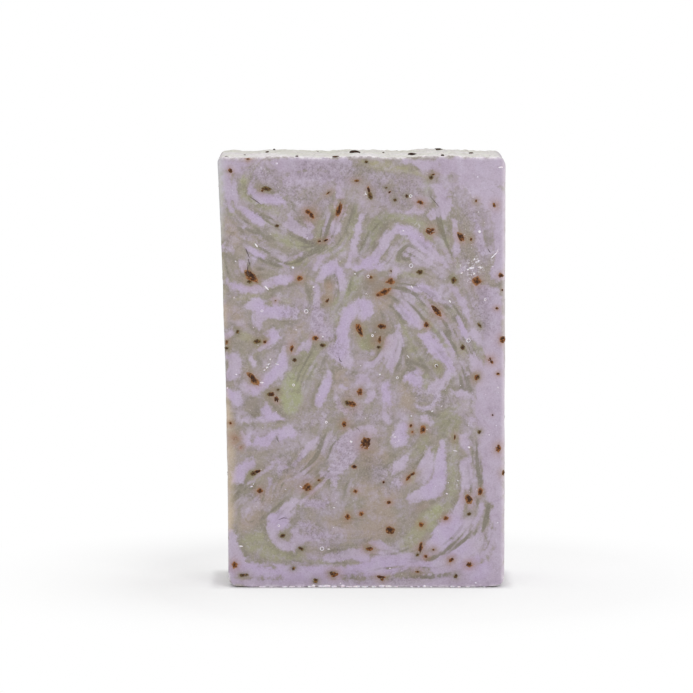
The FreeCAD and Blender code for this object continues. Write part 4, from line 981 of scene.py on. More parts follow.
def streaks(x, z, directions, grain, reach, seed):
    """Random streaks that run along the swirl, about 1 in size, with a mean of 0."""
    cosine, sine = directions
    speckle_width, speckle_height = SPECKLE_SIZE
    speckle = np.random.default_rng(seed).random((int(speckle_height / grain), int(speckle_width / grain)))
    total = sampled(speckle, SPECKLE_ORIGIN, grain, x, z)
    stride = grain * 0.8
    for sense in (1.0, -1.0):
        place_x, place_z = x.copy(), z.copy()
        last_dx, last_dz = None, None
        for _ in range(int(reach / stride)):
            double = np.arctan2(sampled(sine, FLOW_ORIGIN, FLOW_CELL, place_x, place_z),
                                sampled(cosine, FLOW_ORIGIN, FLOW_CELL, place_x, place_z))
            dx, dz = np.cos(double / 2) * sense, np.sin(double / 2) * sense
            if last_dx is not None:
                turned = np.where(dx * last_dx + dz * last_dz < 0, -1.0, 1.0)
                dx, dz = dx * turned, dz * turned
            place_x, place_z = place_x + stride * dx, place_z + stride * dz
            total += sampled(speckle, SPECKLE_ORIGIN, grain, place_x, place_z)
            last_dx, last_dz = dx, dz
    total -= total.mean()
    return total / (2 * total.std())


def grid_quads(cells_across, cells_up, first):
    """The quads of a grid that is stored row by row from a first index."""
    i, j = np.meshgrid(np.arange(cells_across), np.arange(cells_up))
    row = cells_across + 1
    corner = (first + j * row + i).ravel()
    return np.stack([corner, corner + 1, corner + row + 1, corner + row], axis=1)


def ring_quads(front, back):
    """Quads between two closed rings of indices, the first nearer the front."""
    return np.stack([front, back, np.roll(back, -1), np.roll(front, -1)], axis=1)


def bar_shell():
    """Points and faces of the whole bar: a fine front, rings along the depth and a coarser back."""
    points, quads = [], []
    i, j = np.meshgrid(np.arange(CELLS_ACROSS + 1), np.arange(CELLS_UP + 1))
    x, z = section_points(i.ravel() / CELLS_ACROSS, j.ravel() / CELLS_UP, EDGE_RADIUS)
    points.append(np.stack([x, np.full_like(x, -HALF_DEPTH), z], axis=1))
    quads.append(grid_quads(CELLS_ACROSS, CELLS_UP, 0))
    ring = border_indices(CELLS_ACROSS, CELLS_UP)
    across, up = border_shares(CELLS_ACROSS, CELLS_UP)
    count = len(points[0])
    edge_turns = [math.pi / 2 * k / EDGE_STEPS for k in range(1, EDGE_STEPS + 1)]
    rounding = [(EDGE_RADIUS * (1 - math.sin(a)), EDGE_RADIUS * (1 - math.cos(a))) for a in edge_turns]
    span = 2 * (HALF_DEPTH - EDGE_RADIUS)
    layers = [(inset, -HALF_DEPTH + depth) for inset, depth in rounding]
    layers += [(0.0, -HALF_DEPTH + EDGE_RADIUS + span * k / DEPTH_STEPS) for k in range(1, DEPTH_STEPS)]
    layers += [(inset, HALF_DEPTH - depth) for inset, depth in reversed(rounding)]
    layers.append((EDGE_RADIUS, HALF_DEPTH))
    for inset, y in layers:
        x, z = section_points(across, up, inset)
        points.append(np.stack([x, np.full_like(x, y), z], axis=1))
        following = count + np.arange(len(x))
        quads.append(ring_quads(ring, following))
        ring = following
        count += len(x)
    half_across, half_up = CELLS_ACROSS // 2, CELLS_UP // 2
    i, j = np.meshgrid(np.arange(half_across + 1), np.arange(half_up + 1))
    x, z = section_points(i.ravel() / half_across, j.ravel() / half_up, EDGE_RADIUS + BACK_INSET)
    points.append(np.stack([x, np.full_like(x, HALF_DEPTH), z], axis=1))
    quads.append(grid_quads(half_across, half_up, count)[:, ::-1])
    coarse = count + border_indices(half_across, half_up)
    even, odd = ring[0::2], ring[1::2]
    next_coarse, next_even = np.roll(coarse, -1), np.roll(even, -1)
    triangles = np.concatenate([
        np.stack([even, coarse, odd], axis=1),
        np.stack([odd, coarse, next_coarse], axis=1),
        np.stack([odd, next_coarse, next_even], axis=1),
    ])
    return np.concatenate(points), np.concatenate(quads), triangles


def outward(points):
    """The bar's outward direction at its points, from its box."""
    normal = np.zeros_like(points)
    x, y, z = points.T
    near = EDGE_RADIUS
    normal[:, 1] = np.where(y < near - HALF_DEPTH, -1, np.where(y > HALF_DEPTH - near, 1, 0))
    normal[:, 0] = np.where(x > RIGHT - near, 1, np.where(x < left_wall(z) + near, -1, 0))
    normal[:, 2] = np.where(z < near, -1, np.where(z > top_level(x) - near, 1, 0))
    length = np.linalg.norm(normal, axis=1)
    return normal / np.maximum(length, 1)[:, None]


def relief(points):
    """How far the cut, poured and moulded faces stand out from the plain shape."""
    x, y, z = points.T
    front = np.clip((-y - HALF_DEPTH + EDGE_RADIUS) / EDGE_RADIUS, 0, 1)
    top = np.clip(1 - (top_level(x) - z) / RELIEF_REACH, 0, 1)
    base = np.clip(1 - z / RELIEF_REACH, 0, 1)
    height = layered(points, ALL_OVER_WAVES)
    height += KNIFE_HEIGHT * front * waves(points * KNIFE_STRETCH, 5, 3)
    height += top * layered(points, TOP_WAVES)
    height += base * layered(points, BASE_WAVES)
    chalk = soft(stroke_field(x, z, CHALKY), CHALK_BLUR) * front
    height += chalk * layered(points, CHALK_WAVES)
    for across, up, radius in BUBBLES:
        inside = np.exp(-((x - across) ** 2 + (z - up) ** 2) / (radius * 0.8) ** 2)
        height -= BUBBLE_DEPTH * inside * front
    return height


def strongest(x, z, strokes, blur):
    """The greatest weight, from 0 to 1, of strokes that each have a strength."""
    weight = np.zeros(len(x))
    for strength, stroke in strokes:
        weight = np.maximum(weight, strength * soft(stroke_field(x, z, (stroke,)), blur))
    return weight


def green_weights(x, z):
    """How green the soap is, and how yellow that green is."""
    green = np.zeros(len(x))
    yellow = np.zeros(len(x))
    for strength, yellowness, stroke in GREENS:
        weight = strength * soft(stroke_field(x, z, (stroke,)), GREEN_BLUR)
        yellow = np.where(weight > green, yellowness, yellow)
        green = np.maximum(green, weight)
    return green, yellow


def stain_weights(points, depth, flecks):
    """How orange and how olive the soap is stained by the flecks, and by stains of their own."""
    x, _, z = points.T
    orange = np.zeros(len(x))
    olive = np.zeros(len(x))
    for place, _, along, length, width, (_, oliveness, _, strength) in flecks:
        near = np.linalg.norm(points - place, axis=1) < 2 * length + 1
        offset = points[near] - place
        lengthwise = offset @ along
        sideways = np.linalg.norm(offset - lengthwise[:, None] * along, axis=1)
        reach = 0.12 + 0.5 * strength
        fade = np.exp(-(lengthwise / (length / 2 + reach)) ** 2 - (sideways / (width / 2 + reach)) ** 2)
        orange[near] = np.maximum(orange[near], fade * strength * (1 - oliveness))
        olive[near] = np.maximum(olive[near], fade * strength * oliveness)
    for across, up, radius, strength, oliveness in STAINS:
        squared = ((x - across) ** 2 + (z - up) ** 2) / radius ** 2
        fade = strength * np.exp(-squared * 1.2) * (depth < 0.03)
        orange = np.maximum(orange, fade * (1 - oliveness))
        olive = np.maximum(olive, fade * oliveness)
    return orange, olive


def tone_attributes(points, flecks):
    """Weights of each colour of soap, and of the stains round the flecks, at each point."""
    x, y, z = points.T
    depth = (y + HALF_DEPTH) / (2 * HALF_DEPTH)
    drift = FRONT_DRIFT + DEPTH_DRIFT * depth
    sway_z = layered(points, SWAY_Z)
    beside = np.clip((np.abs(x) - RIGHT + BESIDE_REACH) / BESIDE_REACH, 0, 1)
    sample_x = x + drift * layered(points, SWAY_X) - DEPTH_DRIFT * depth * np.sign(x) * beside
    sample_z = z + drift * sway_z

    def weight_of(strokes, blur):
        return soft(stroke_field(sample_x, sample_z, strokes), blur)

    lavender = stroke_field(sample_x, sample_z, LAVENDER)
    lines = stroke_field(sample_x, sample_z, FLOW_LINES)
    swirl = np.minimum(lavender, -lines)
    veil = strongest(sample_x, sample_z, VEILS, VEIL_BLUR)
    directions = swirl_directions()
    streaky = 0.5 + 0.9 * weight_of(STREAKY, STREAKY_BLUR)
    fine = streaks(sample_x, sample_z, directions, *FINE_STREAKS) * streaky
    broad = streaks(sample_x, sample_z, directions, *BROAD_STREAKS) * streaky
    darker_tone_and_foot_shadow = strongest(sample_x, sample_z, SHADES, SHADE_BLUR)
    green, yellow = green_weights(sample_x, sample_z)

    from_side = np.minimum(x - left_wall(z), RIGHT - x)
    from_border = np.minimum(from_side, np.minimum(z, top_level(x) - z))
    # painted highlight where the front's edges catch the light, partly wear of the dry soap; weaker along the
    # side walls
    rim = np.clip(1.3 - from_border / EDGE_RADIUS, 0, 1) * (y < EDGE_RADIUS - HALF_DEPTH + 0.2)
    rim *= np.where((from_side > 1) | (z < 3), 1.0, SIDE_RIM_HIGHLIGHT)
    near_front = np.exp(-FRONT_FADE * np.maximum(depth - 0.02, 0))
    # painted shadow: a thin dark line along the foot of the front, where the bar meets the floor
    painted_foot_shadow = np.clip(1.3 - z / FOOT_SHADOW_HEIGHT, 0, 1)
    rim *= 1 - painted_foot_shadow
    darker_tone_and_foot_shadow = np.maximum(darker_tone_and_foot_shadow, FOOT_SHADOW_STRENGTH * painted_foot_shadow * near_front)
    # painted highlight where the edges catch the light, fading with depth
    pale = soft(stroke_field(x, z, EDGE_HIGHLIGHTS), EDGE_HIGHLIGHT_BLUR) * near_front ** 2
    cool = soft(stroke_field(x, z, COOL_EDGES), COOL_BLUR) * near_front
    ash = np.clip(1 - (top_level(x) - z) / ASH_DEPTH, 0, 1) * (y > EDGE_RADIUS * 0.6 - HALF_DEPTH)
    cream_fade = np.clip(0.9 - 1.1 * depth + 0.5 * sway_z, 0, 1)
    cream = soft(stroke_field(x, sample_z, CREAM), CREAM_BLUR) * cream_fade
    chalk = soft(stroke_field(x, z, CHALKY), CHALK_BLUR) * (depth < 0.02)
    orange, olive = stain_weights(points, depth, flecks)
    grainy = weight_of(GRAINY, GRAINY_BLUR)
    pure = weight_of(PURE, PURE_BLUR)
    warm = weight_of(WARM, WARM_BLUR)
    nothing = np.zeros(len(x))
    return {
        "swirls": np.stack([swirl, green, warm, yellow], axis=1),
        "stains": np.stack([orange, olive, cream, chalk], axis=1),
        "streaks": np.stack([fine, broad, veil, ash], axis=1),
        "rims": np.stack([rim, pale, cool, depth], axis=1),
        "grains": np.stack([grainy, pure, darker_tone_and_foot_shadow, nothing], axis=1),
    }


def add_colours(mesh, name, values):
    """Gives each point of a mesh four numbers, as a colour attribute."""
    attribute = mesh.attributes.new(name, "FLOAT_COLOR", "POINT")
    attribute.data.foreach_set("color", values.astype(np.float32).ravel())


def mesh_object(name, points, faces):
    """A mesh object from points in millimetres."""
    mesh = bpy.data.meshes.new(name)
    mesh.from_pydata((np.asarray(points) * MM).tolist(), [], faces)
    mesh.polygons.foreach_set("use_smooth", [True] * len(mesh.polygons))
    mesh.update()
    piece = bpy.data.objects.new(name, mesh)
    bpy.context.scene.collection.objects.link(piece)
    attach(piece, "root")
    return piece


def along_front(angle):
    """The direction on the front that is turned from level by an angle."""
    return np.array([math.cos(angle), 0, math.sin(angle)])


def face_places():
    """All flecks: place, outward normal, direction along, length, width, kind."""
    flecks = []
    for x, z, length, width, tilt, kind in FLECKS:
        along = along_front(math.radians(tilt))
        flecks.append((np.array([x, -HALF_DEPTH, z]), FRONT, along, length, width, kind))
    rng = np.random.default_rng(SEED)
    kinds = (DARK, RED, ORANGE, ORANGE, OLIVE, FAINT, BLACK)
    wall_span = HALF_DEPTH - FLECK_MARGIN

    def scatter(count, place_at, normal):
        """Adds flecks at random places of a face."""
        normal = np.array(normal, dtype=float)
        side = INWARD if abs(normal[1]) < 0.5 else ACROSS
        other = np.cross(normal, side)
        for _ in range(count):
            place = np.array(place_at(rng.random(), rng.random()))
            angle = rng.uniform(0, math.pi)
            along = side * math.cos(angle) + other * math.sin(angle)
            length = rng.uniform(0.5, 1.2) + 1.4 * rng.random() ** 3
            width = length * rng.uniform(0.4, 0.85)
            flecks.append((place, normal, along, length, width, kinds[rng.integers(len(kinds))]))

    def across_at(share, z):
        return left_wall(z) + FLECK_MARGIN + share * (RIGHT - left_wall(z) - 2 * FLECK_MARGIN)

    def up_at(share):
        return FLECK_MARGIN + share * (MEAN_TOP - 2 * FLECK_MARGIN)

    scatter(BACK_FLECKS, lambda a, b: (across_at(a, up_at(b)), HALF_DEPTH, up_at(b)), (0, 1, 0))
    scatter(WALL_FLECKS, lambda a, b: (RIGHT, (2 * a - 1) * wall_span, up_at(b)), (1, 0, 0))
    scatter(WALL_FLECKS, lambda a, b: (left_wall(up_at(b)), (2 * a - 1) * wall_span, up_at(b)), (-1, 0, 0))
    scatter(BASE_FLECKS, lambda a, b: (across_at(a, 0), (2 * b - 1) * wall_span, 0.0), (0, 0, -1))
    return flecks


def make_bar(flecks):
    """The whole bar, with its relief and the weights of its colours."""
    points, quads, triangles = bar_shell()
    tones = tone_attributes(points, flecks)
    points = points + outward(points) * relief(points)[:, None]
    from_side = np.minimum(points[:, 0] - left_wall(0), RIGHT - points[:, 0])
    near_base = np.clip(1 - points[:, 2] / LIFT_HEIGHT, 0, 1)
    points[:, 2] += BASE_LIFT * np.exp(-(from_side / LIFT_WIDTH) ** 2) * near_base
    bar = mesh_object("soap_body", points, quads.tolist() + triangles.tolist())
    for name, values in tones.items():
        add_colours(bar.data, name, values)
    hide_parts("soap_bar")
    return bar


def patch(place, normal, along, length, width, proud, rng, sides=PATCH_SIDES):
    """An uneven low dome on a face: its points and faces."""
    across = np.cross(normal, along)
    ragged = 1 + 0.16 * rng.normal(size=sides)
    points = [place + normal * proud]
    for share, height in PATCH_RINGS:
        for k in range(sides):
            angle = 2 * math.pi * k / sides
            reach = share * (1 + (ragged[k] - 1) * share) / 2
            flat = along * (reach * length * math.cos(angle)) + across * (reach * width * math.sin(angle))
            lift = proud * height * (1 + 0.35 * rng.normal() * (share < 1))
            points.append(place + flat + normal * lift)
    faces = [(0, 1 + k, 1 + (k + 1) % sides) for k in range(sides)]
    for ring in range(len(PATCH_RINGS) - 1):
        start = 1 + ring * sides
        for k in range(sides):
            n = (k + 1) % sides
            faces.append((start + k, start + sides + k, start + sides + n, start + n))
    return points, faces


def joined(parts):
    """Points and faces of several parts as one."""
    points, faces = [], []
    for part_points, part_faces in parts:
        start = len(points)
        points.extend(part_points)
        faces.extend(tuple(start + i for i in face) for face in part_faces)
    return points, faces


def make_flecks(flecks):
    """The chips of herb in all the faces."""
    rng = np.random.default_rng(SEED + 1)
    parts, tones = [], []
    from_middle = [0.0] + [share for share, _ in PATCH_RINGS for _ in range(PATCH_SIDES)]
    for place, normal, along, length, width, kind in flecks:
        proud = 0.05 + 0.03 * rng.random()
        share = CHIP_SHARE[kind]
        part = patch(place, normal, along, length * share, width * share * 1.15, proud, rng)
        parts.append(part)
        tones.extend([*kind[:3], out] for out in from_middle)
    points, faces = joined(parts)
    chips = mesh_object("herb_chips", points, faces)
    add_colours(chips.data, "tones", np.array(tones))
    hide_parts("herb_flecks")
    return chips


def lump(place, along, across, up, length, width, height, rng, rings=9, sides=14):
    """A lumpy closed bud about a place: its points and faces."""
    points = [place - along * length / 2]
    grooves = 1 + 0.10 * rng.normal(size=sides)
    for r in range(1, rings):
        turn = math.pi * r / rings
        for k in range(sides):
            angle = 2 * math.pi * k / sides
            swell = math.sin(turn) ** 0.75 * grooves[k] * (1 + 0.08 * rng.normal())
            sideways = across * (swell * width / 2 * math.cos(angle))
            upwards = up * (swell * height / 2 * math.sin(angle))
            points.append(place - along * (length / 2 * math.cos(turn)) + (sideways + upwards))
    points.append(place + along * length / 2)
    last = len(points) - 1
    faces = [(0, 1 + (k + 1) % sides, 1 + k) for k in range(sides)]
    for r in range(rings - 2):
        start = 1 + r * sides
        for k in range(sides):
            n = (k + 1) % sides
            faces.append((start + k, start + n, start + sides + n, start + sides + k))
    start = 1 + (rings - 2) * sides
    faces += [(last, start + k, start + (k + 1) % sides) for k in range(sides)]
    return points, faces


def make_buds():
    """Buds and broken bits of herb that lie in the poured top."""
    rng = np.random.default_rng(SEED + 2)
    parts, tones = [], []
    for x, share, length, width, turn, kind in TOP_BUDS:
        angle = math.radians(turn)
        along = np.array([math.cos(angle), math.sin(angle), 0])
        across = np.cross(UP, along)
        level = float(top_level(np.array([x]))[0])
        place = np.array([x, HALF_DEPTH * (2 * share - 1), level + 0.06 * width])
        part = lump(place, along, across, UP, length, width, width * 0.8, rng)
        parts.append(part)
        tones.extend([[*kind[:3], 0.0]] * len(part[0]))
    points, faces = joined(parts)
    buds = mesh_object("herb_buds", points, faces)
    add_colours(buds.data, "tones", np.array(tones))
    return buds


def make_crumbs():
    """Flakes of dry soap that the cut left on the front, tiny white flakes that are painted glints, and
    shreds along its foot that are partly a painted highlight.
    """
    rng = np.random.default_rng(SEED + 3)
    parts = []
    for x, z, length, width, tilt in CRUMBS:
        place = np.array([x, -HALF_DEPTH, z])
        along = along_front(math.radians(tilt))
        parts.append(patch(place, FRONT, along, length, width, CRUMB_HEIGHT, rng, sides=9))
    left, right, lower, upper = GLINT_FIELD
    # painted glints: tiny white flakes scattered over the front
    for _ in range(GLINT_FLAKES):
        place = np.array([rng.uniform(left, right), -HALF_DEPTH, rng.uniform(lower, upper)])
        along = along_front(rng.uniform(0, math.pi))
        length = 0.14 + 0.16 * rng.random() ** 2
        parts.append(patch(place, FRONT, along, length, 0.7 * length, GLINT_HEIGHT, rng, sides=7))
    # shreds along the foot, partly a painted highlight on the bottom edge
    for x, length, height in FOOT_SHREDS_AND_HIGHLIGHT:
        place = np.array([x, 0.02 - HALF_DEPTH, SHRED_GAP + height / 2])
        shred_and_highlight = lump(place, ACROSS, FRONT, UP, length, SHRED_DEPTH, height * 1.15, rng, rings=10, sides=8)
        parts.append(shred_and_highlight)
    points, faces = joined(parts)
    crumbs = mesh_object("soap_crumbs_and_painted_glints", points, faces)
    return crumbs


def tube(line, radii, frame_normal, sides=6):
    """A tube along a line of places, flat ended: its points and faces."""
    points = []
    line = [np.array(place, dtype=float) for place in line]
    for k, place in enumerate(line):
        ahead = line[min(k + 1, len(line) - 1)] - line[max(k - 1, 0)]
        ahead /= np.linalg.norm(ahead)
        across = np.cross(ahead, frame_normal)
        for s in range(sides):
            angle = 2 * math.pi * s / sides
            points.append(place + radii[k] * (across * math.cos(angle) + frame_normal * math.sin(angle)))
    faces = []
    for k in range(len(line) - 1):
        for s in range(sides):
            n = (s + 1) % sides
            start = k * sides
            faces.append((start + s, start + n, start + sides + n, start + sides + s))
    faces.append(tuple(range(sides))[::-1])
    faces.append(tuple((len(line) - 1) * sides + s for s in range(sides)))
    return points, faces


def make_rims():
    """Pale rims of burst bubbles, their white partly a painted highlight."""
    rng = np.random.default_rng(SEED + 4)
    sides, steps = 6, 18
    parts = []
    # pale rims, partly painted highlights
    for x, z, radius in BUBBLES:
        points = []
        for k in range(steps):
            out = along_front(2 * math.pi * k / steps)
            thick = RIM_RADIUS * (1 + 0.15 * rng.normal())
            centre = np.array([x, -HALF_DEPTH, z]) + out * radius
            for s in range(sides):
                angle = 2 * math.pi * s / sides
                points.append(centre + thick * (out * math.cos(angle) + FRONT * math.sin(angle)))
        faces = []
        for k in range(steps):
            for s in range(sides):
                n = (s + 1) % sides
                a, b = k * sides, ((k + 1) % steps) * sides
                faces.append((a + s, a + n, b + n, b + s))
        parts.append((points, faces))
    points, faces = joined(parts)
    rims = mesh_object("bubble_rims", points, faces)
    return rims


def make_cracks():
    """Fine dark cracks and fibres in the front; the dark of the cracks is painted shadow."""
    y = -HALF_DEPTH - CRACK_HEIGHT
    parts = []
    for radius, line in CRACKS:
        places = []
        for (x0, z0), (x1, z1) in zip(line, line[1:]):
            for share in (0.0, 0.34, 0.67):
                places.append((x0 + share * (x1 - x0), y, z0 + share * (z1 - z0)))
        end_x, end_z = line[-1]
        places.append((end_x, y, end_z))
        last = len(places) - 1
        radii = [radius * (0.35 + math.sin(math.pi * (0.08 + 0.84 * k / last))) for k in range(len(places))]
        parts.append(tube(places, radii, FRONT))
    points, faces = joined(parts)
    cracks = mesh_object("crack_fibres", points, faces)
    return cracks


def linear(red, green, blue):
    """A colour from its usual 0 to 255 values, for the shader."""
    def channel(value):
        value /= 255
        return value / 12.92 if value <= 0.04045 else ((value + 0.055) / 1.055) ** 2.4
    return (channel(red), channel(green), channel(blue), 1.0)


COLOURS = {name: linear(*tone) for name, tone in TONES.items()}


class Nodes:
    """Short calls that build a material's nodes."""

    def __init__(self, name, **settings):
        self.material = bpy.data.materials.new(name)
        self.material.use_nodes = True
        self.tree = self.material.node_tree
        self.shader = self.tree.nodes["Principled BSDF"]
        for socket, value in settings.items():
            self.shader.inputs[socket.replace("_", " ")].default_value = value
        coordinates = self.tree.nodes.new("ShaderNodeTexCoord")
        scaled = self.tree.nodes.new("ShaderNodeVectorMath")
        scaled.operation = "SCALE"
        scaled.inputs["Scale"].default_value = 1 / MM
        self.tree.links.new(coordinates.outputs["Object"], scaled.inputs[0])
        self.place = scaled.outputs[0]

    def put(self, value, socket):
        """Links an output to a socket, or sets the socket to a plain value."""
        if isinstance(value, bpy.types.NodeSocket):
            self.tree.links.new(value, socket)
        else:
            socket.default_value = value

    def math(self, operation, a, b=0.0, clamp=False):
        node = self.tree.nodes.new("ShaderNodeMath")
        node.operation = operation
        node.use_clamp = clamp
        self.put(a, node.inputs[0])
        self.put(b, node.inputs[1])
        return node.outputs[0]

    def plus(self, a, b, clamp=False):
        return self.math("ADD", a, b, clamp)

    def times(self, a, b):
        return self.math("MULTIPLY", a, b)

    def about(self, value, middle, factor):
        """How far a value is above a middle, times a factor."""
        return self.times(self.math("SUBTRACT", value, middle), factor)

    def noise(self, wavelength, detail=2.0, roughness=0.5, distortion=0.0):
        """Noise from 0 to 1 whose lumps are about a wavelength apart, in millimetres."""
        node = self.tree.nodes.new("ShaderNodeTexNoise")
        self.put(self.place, node.inputs["Vector"])
        node.inputs["Scale"].default_value = 1 / wavelength
        node.inputs["Detail"].default_value = detail
        node.inputs["Roughness"].default_value = roughness
        node.inputs["Distortion"].default_value = distortion
        return node.outputs["Fac"]

    def cells(self, size):
        """How far a place is from the nearest of many points that are about a size apart."""
        node = self.tree.nodes.new("ShaderNodeTexVoronoi")
        self.put(self.place, node.inputs["Vector"])
        node.inputs["Scale"].default_value = 1 / size
        return node.outputs["Distance"]

    def step(self, value, low, high, start=0.0, end=1.0):
        """A smooth step from start to end as the value goes from low to high."""
        node = self.tree.nodes.new("ShaderNodeMapRange")
        node.interpolation_type = "SMOOTHSTEP"
        self.put(value, node.inputs["Value"])
        for socket, number in zip(("From Min", "From Max", "To Min", "To Max"), (low, high, start, end)):
            node.inputs[socket].default_value = number
        return node.outputs["Result"]

    def mix(self, share, a, b):
        """The colour a where the share is 0, and b where it is 1."""
        node = self.tree.nodes.new("ShaderNodeMix")
        node.data_type = "RGBA"
        self.put(share, node.inputs["Factor"])
        self.put(a, node.inputs["A"])
        self.put(b, node.inputs["B"])
        return node.outputs["Result"]

    def channels(self, name):
        """The four numbers of a colour attribute."""
        attribute = self.tree.nodes.new("ShaderNodeAttribute")
        attribute.attribute_name = name
        split = self.tree.nodes.new("ShaderNodeSeparateColor")
        self.tree.links.new(attribute.outputs["Color"], split.inputs["Color"])
        return split.outputs[0], split.outputs[1], split.outputs[2], attribute.outputs["Alpha"]

    def bump(self, height, distance):
        """A fine relief; the distance is how high it is, in millimetres."""
        node = self.tree.nodes.new("ShaderNodeBump")
        node.inputs["Distance"].default_value = distance * MM
        self.put(height, node.inputs["Height"])
        self.tree.links.new(node.outputs["Normal"], self.shader.inputs["Normal"])

    def colour(self, value):
        self.put(value, self.shader.inputs["Base Color"])

    def roughness(self, value):
        self.put(value, self.shader.inputs["Roughness"])


def lavender_soap(m, large, middle, fine, pure, grainy):
    """The lavender of the strokes, purer or more crumbly in places."""
    tone = m.mix(m.step(large, 0.35, 0.65), COLOURS["lavender"], COLOURS["dull lavender"])
    tone = m.mix(m.times(pure, 0.8), tone, COLOURS["pure lavender"])
    tone = m.mix(m.step(middle, 0.45, 0.75, 0.0, 0.5), tone, COLOURS["light lavender"])
    tone = m.mix(m.step(middle, 0.25, 0.45, 0.4, 0.0), tone, COLOURS["deep lavender"])
    crumbly = m.times(grainy, m.step(fine, 0.35, 0.6, 0.6, 0.0))
    return m.mix(crumbly, tone, COLOURS["crumbly lavender"])


def taupe_soap(m, large, middle, warm, green, yellow):
    """The grey and beige soap between the strokes, with its green parts."""
    tone = m.mix(m.step(large, 0.35, 0.65), COLOURS["taupe"], COLOURS["pink taupe"])
    tone = m.mix(m.step(middle, 0.3, 0.7, 0.0, 0.7), tone, COLOURS["grey taupe"])
    tone = m.mix(m.step(middle, 0.2, 0.42, 0.5, 0.0), tone, COLOURS["light taupe"])
    tone = m.mix(m.times(warm, 0.75), tone, COLOURS["warm taupe"])
    leaf = m.mix(yellow, COLOURS["green leaf"], COLOURS["yellow leaf"])
    return m.mix(green, tone, leaf)


def swirl_shares(m, swirl, veil, fine_streak, broad_streak, middle, fine):
    """How far a place is lavender, and how far it is the dark outline of a stroke."""
    edge = m.plus(swirl, m.about(middle, 0.5, 2.2))
    edge = m.plus(edge, m.about(fine, 0.5, 1.9))
    edge = m.plus(edge, m.times(broad_streak, 0.3))
    edge = m.plus(edge, m.times(fine_streak, 0.25))
    inside = m.step(edge, -0.55, 0.5)
    outline = m.times(m.step(edge, -1.5, -0.7, 0.0, 0.55), m.step(edge, -0.6, 0.0, 1.0, 0.0))
    outline = m.times(outline, m.step(m.noise(3.0, 3.0, 0.6, 0.5), 0.42, 0.66))
    mixed = m.plus(veil, m.times(m.plus(fine_streak, broad_streak), 0.32))
    mixed = m.plus(mixed, m.about(middle, 0.44, 1.6))
    mixed = m.plus(mixed, m.about(fine, 0.47, 1.2), clamp=True)
    share = m.math("MAXIMUM", inside, m.times(mixed, 0.88))
    return share, outline


def streaked(m, soap, share, darker_tone_and_foot_shadow, fine_streak, broad_streak):
    """The soap with its dark and light streaks, clouds, darker parts and the painted shadow line along its
    foot.
    """
    dark_streak = m.step(fine_streak, -1.1, -0.2, 1.0, 0.0)
    dark_streak = m.times(dark_streak, m.step(share, 0.6, 1.0, 0.7, 0.3))
    soap = m.mix(dark_streak, soap, COLOURS["dark streak"])
    clouded = m.step(m.noise(1.3, 4.0, 0.65, 0.8), 0.28, 0.48, 0.5, 0.0)
    clouded = m.times(clouded, m.step(share, 0.5, 1.0, 1.0, 0.25))
    soap = m.mix(clouded, soap, COLOURS["dark cloud"])
    # darker parts of the soap, and the painted shadow line along the foot
    soap = m.mix(m.times(darker_tone_and_foot_shadow, 0.5), soap, COLOURS["darker_tone_and_foot_shadow"])
    return m.mix(m.step(broad_streak, 0.4, 1.3, 0.0, 0.25), soap, COLOURS["light streak"])


def stained(m, soap, orange, olive, cream, chalk, fine):
    """The soap with its cream parts, the stains of herbs and chalky flaking."""
    soap = m.mix(m.times(cream, 0.8), soap, COLOURS["cream"])
    rust = m.mix(m.step(orange, 0.55, 0.95), COLOURS["pale rust"], COLOURS["deep rust"])
    soap = m.mix(m.times(orange, m.step(fine, 0.25, 0.7, 0.5, 1.0)), soap, rust)
    moss = m.mix(m.step(olive, 0.5, 0.9), COLOURS["pale moss"], COLOURS["deep moss"])
    soap = m.mix(m.times(olive, m.step(fine, 0.25, 0.7, 0.5, 1.0)), soap, moss)
    flaking = m.times(chalk, m.step(m.noise(0.5, 4.0, 0.7, 0.6), 0.54, 0.62))
    return m.mix(flaking, soap, COLOURS["chalk"])


def grained(m, soap, grain, grainy):
    """The soap with its specks and its dark and light grain."""
    specks = m.step(m.cells(0.55), 0.0, 0.16, 0.22, 0.0)
    soap = m.mix(specks, soap, COLOURS["speck"])
    coarse = m.plus(0.2, m.times(grainy, 0.35))
    soap = m.mix(m.times(m.step(grain, 0.25, 0.5, 1.0, 0.0), coarse), soap, COLOURS["dark grain"])
    return m.mix(m.times(m.step(grain, 0.52, 0.8), 0.2), soap, COLOURS["light grain"])


def edged(m, soap, large, rim, edge_highlight, cool_edge, depth, ash):
    """The soap with the painted light in its edges, the ash on its poured top, and the wear and painted
    highlight of its rim.
    """
    soap = m.mix(m.times(cool_edge, 0.8), soap, COLOURS["cool edge"])
    # painted highlight in the edges
    soap = m.mix(m.times(edge_highlight, 0.6), soap, COLOURS["painted edge highlight"])
    powder = m.times(ash, m.step(m.noise(0.9, 3.0, 0.7), 0.3, 0.6, 0.5, 0.95))
    dust = m.mix(m.step(large, 0.4, 0.6), COLOURS["dust"], COLOURS["light dust"])
    dust = m.mix(m.step(depth, 0.2, 0.9, 0.0, 0.5), dust, COLOURS["dust at the back"])
    soap = m.mix(powder, soap, dust)
    # wear and painted highlight along the front's rim
    rim_wear_and_highlight = m.times(rim, m.step(m.noise(1.1, 4.0, 0.7), 0.4, 0.6, 0.1, 0.7))
    return m.mix(rim_wear_and_highlight, soap, COLOURS["worn rim and painted highlight"])


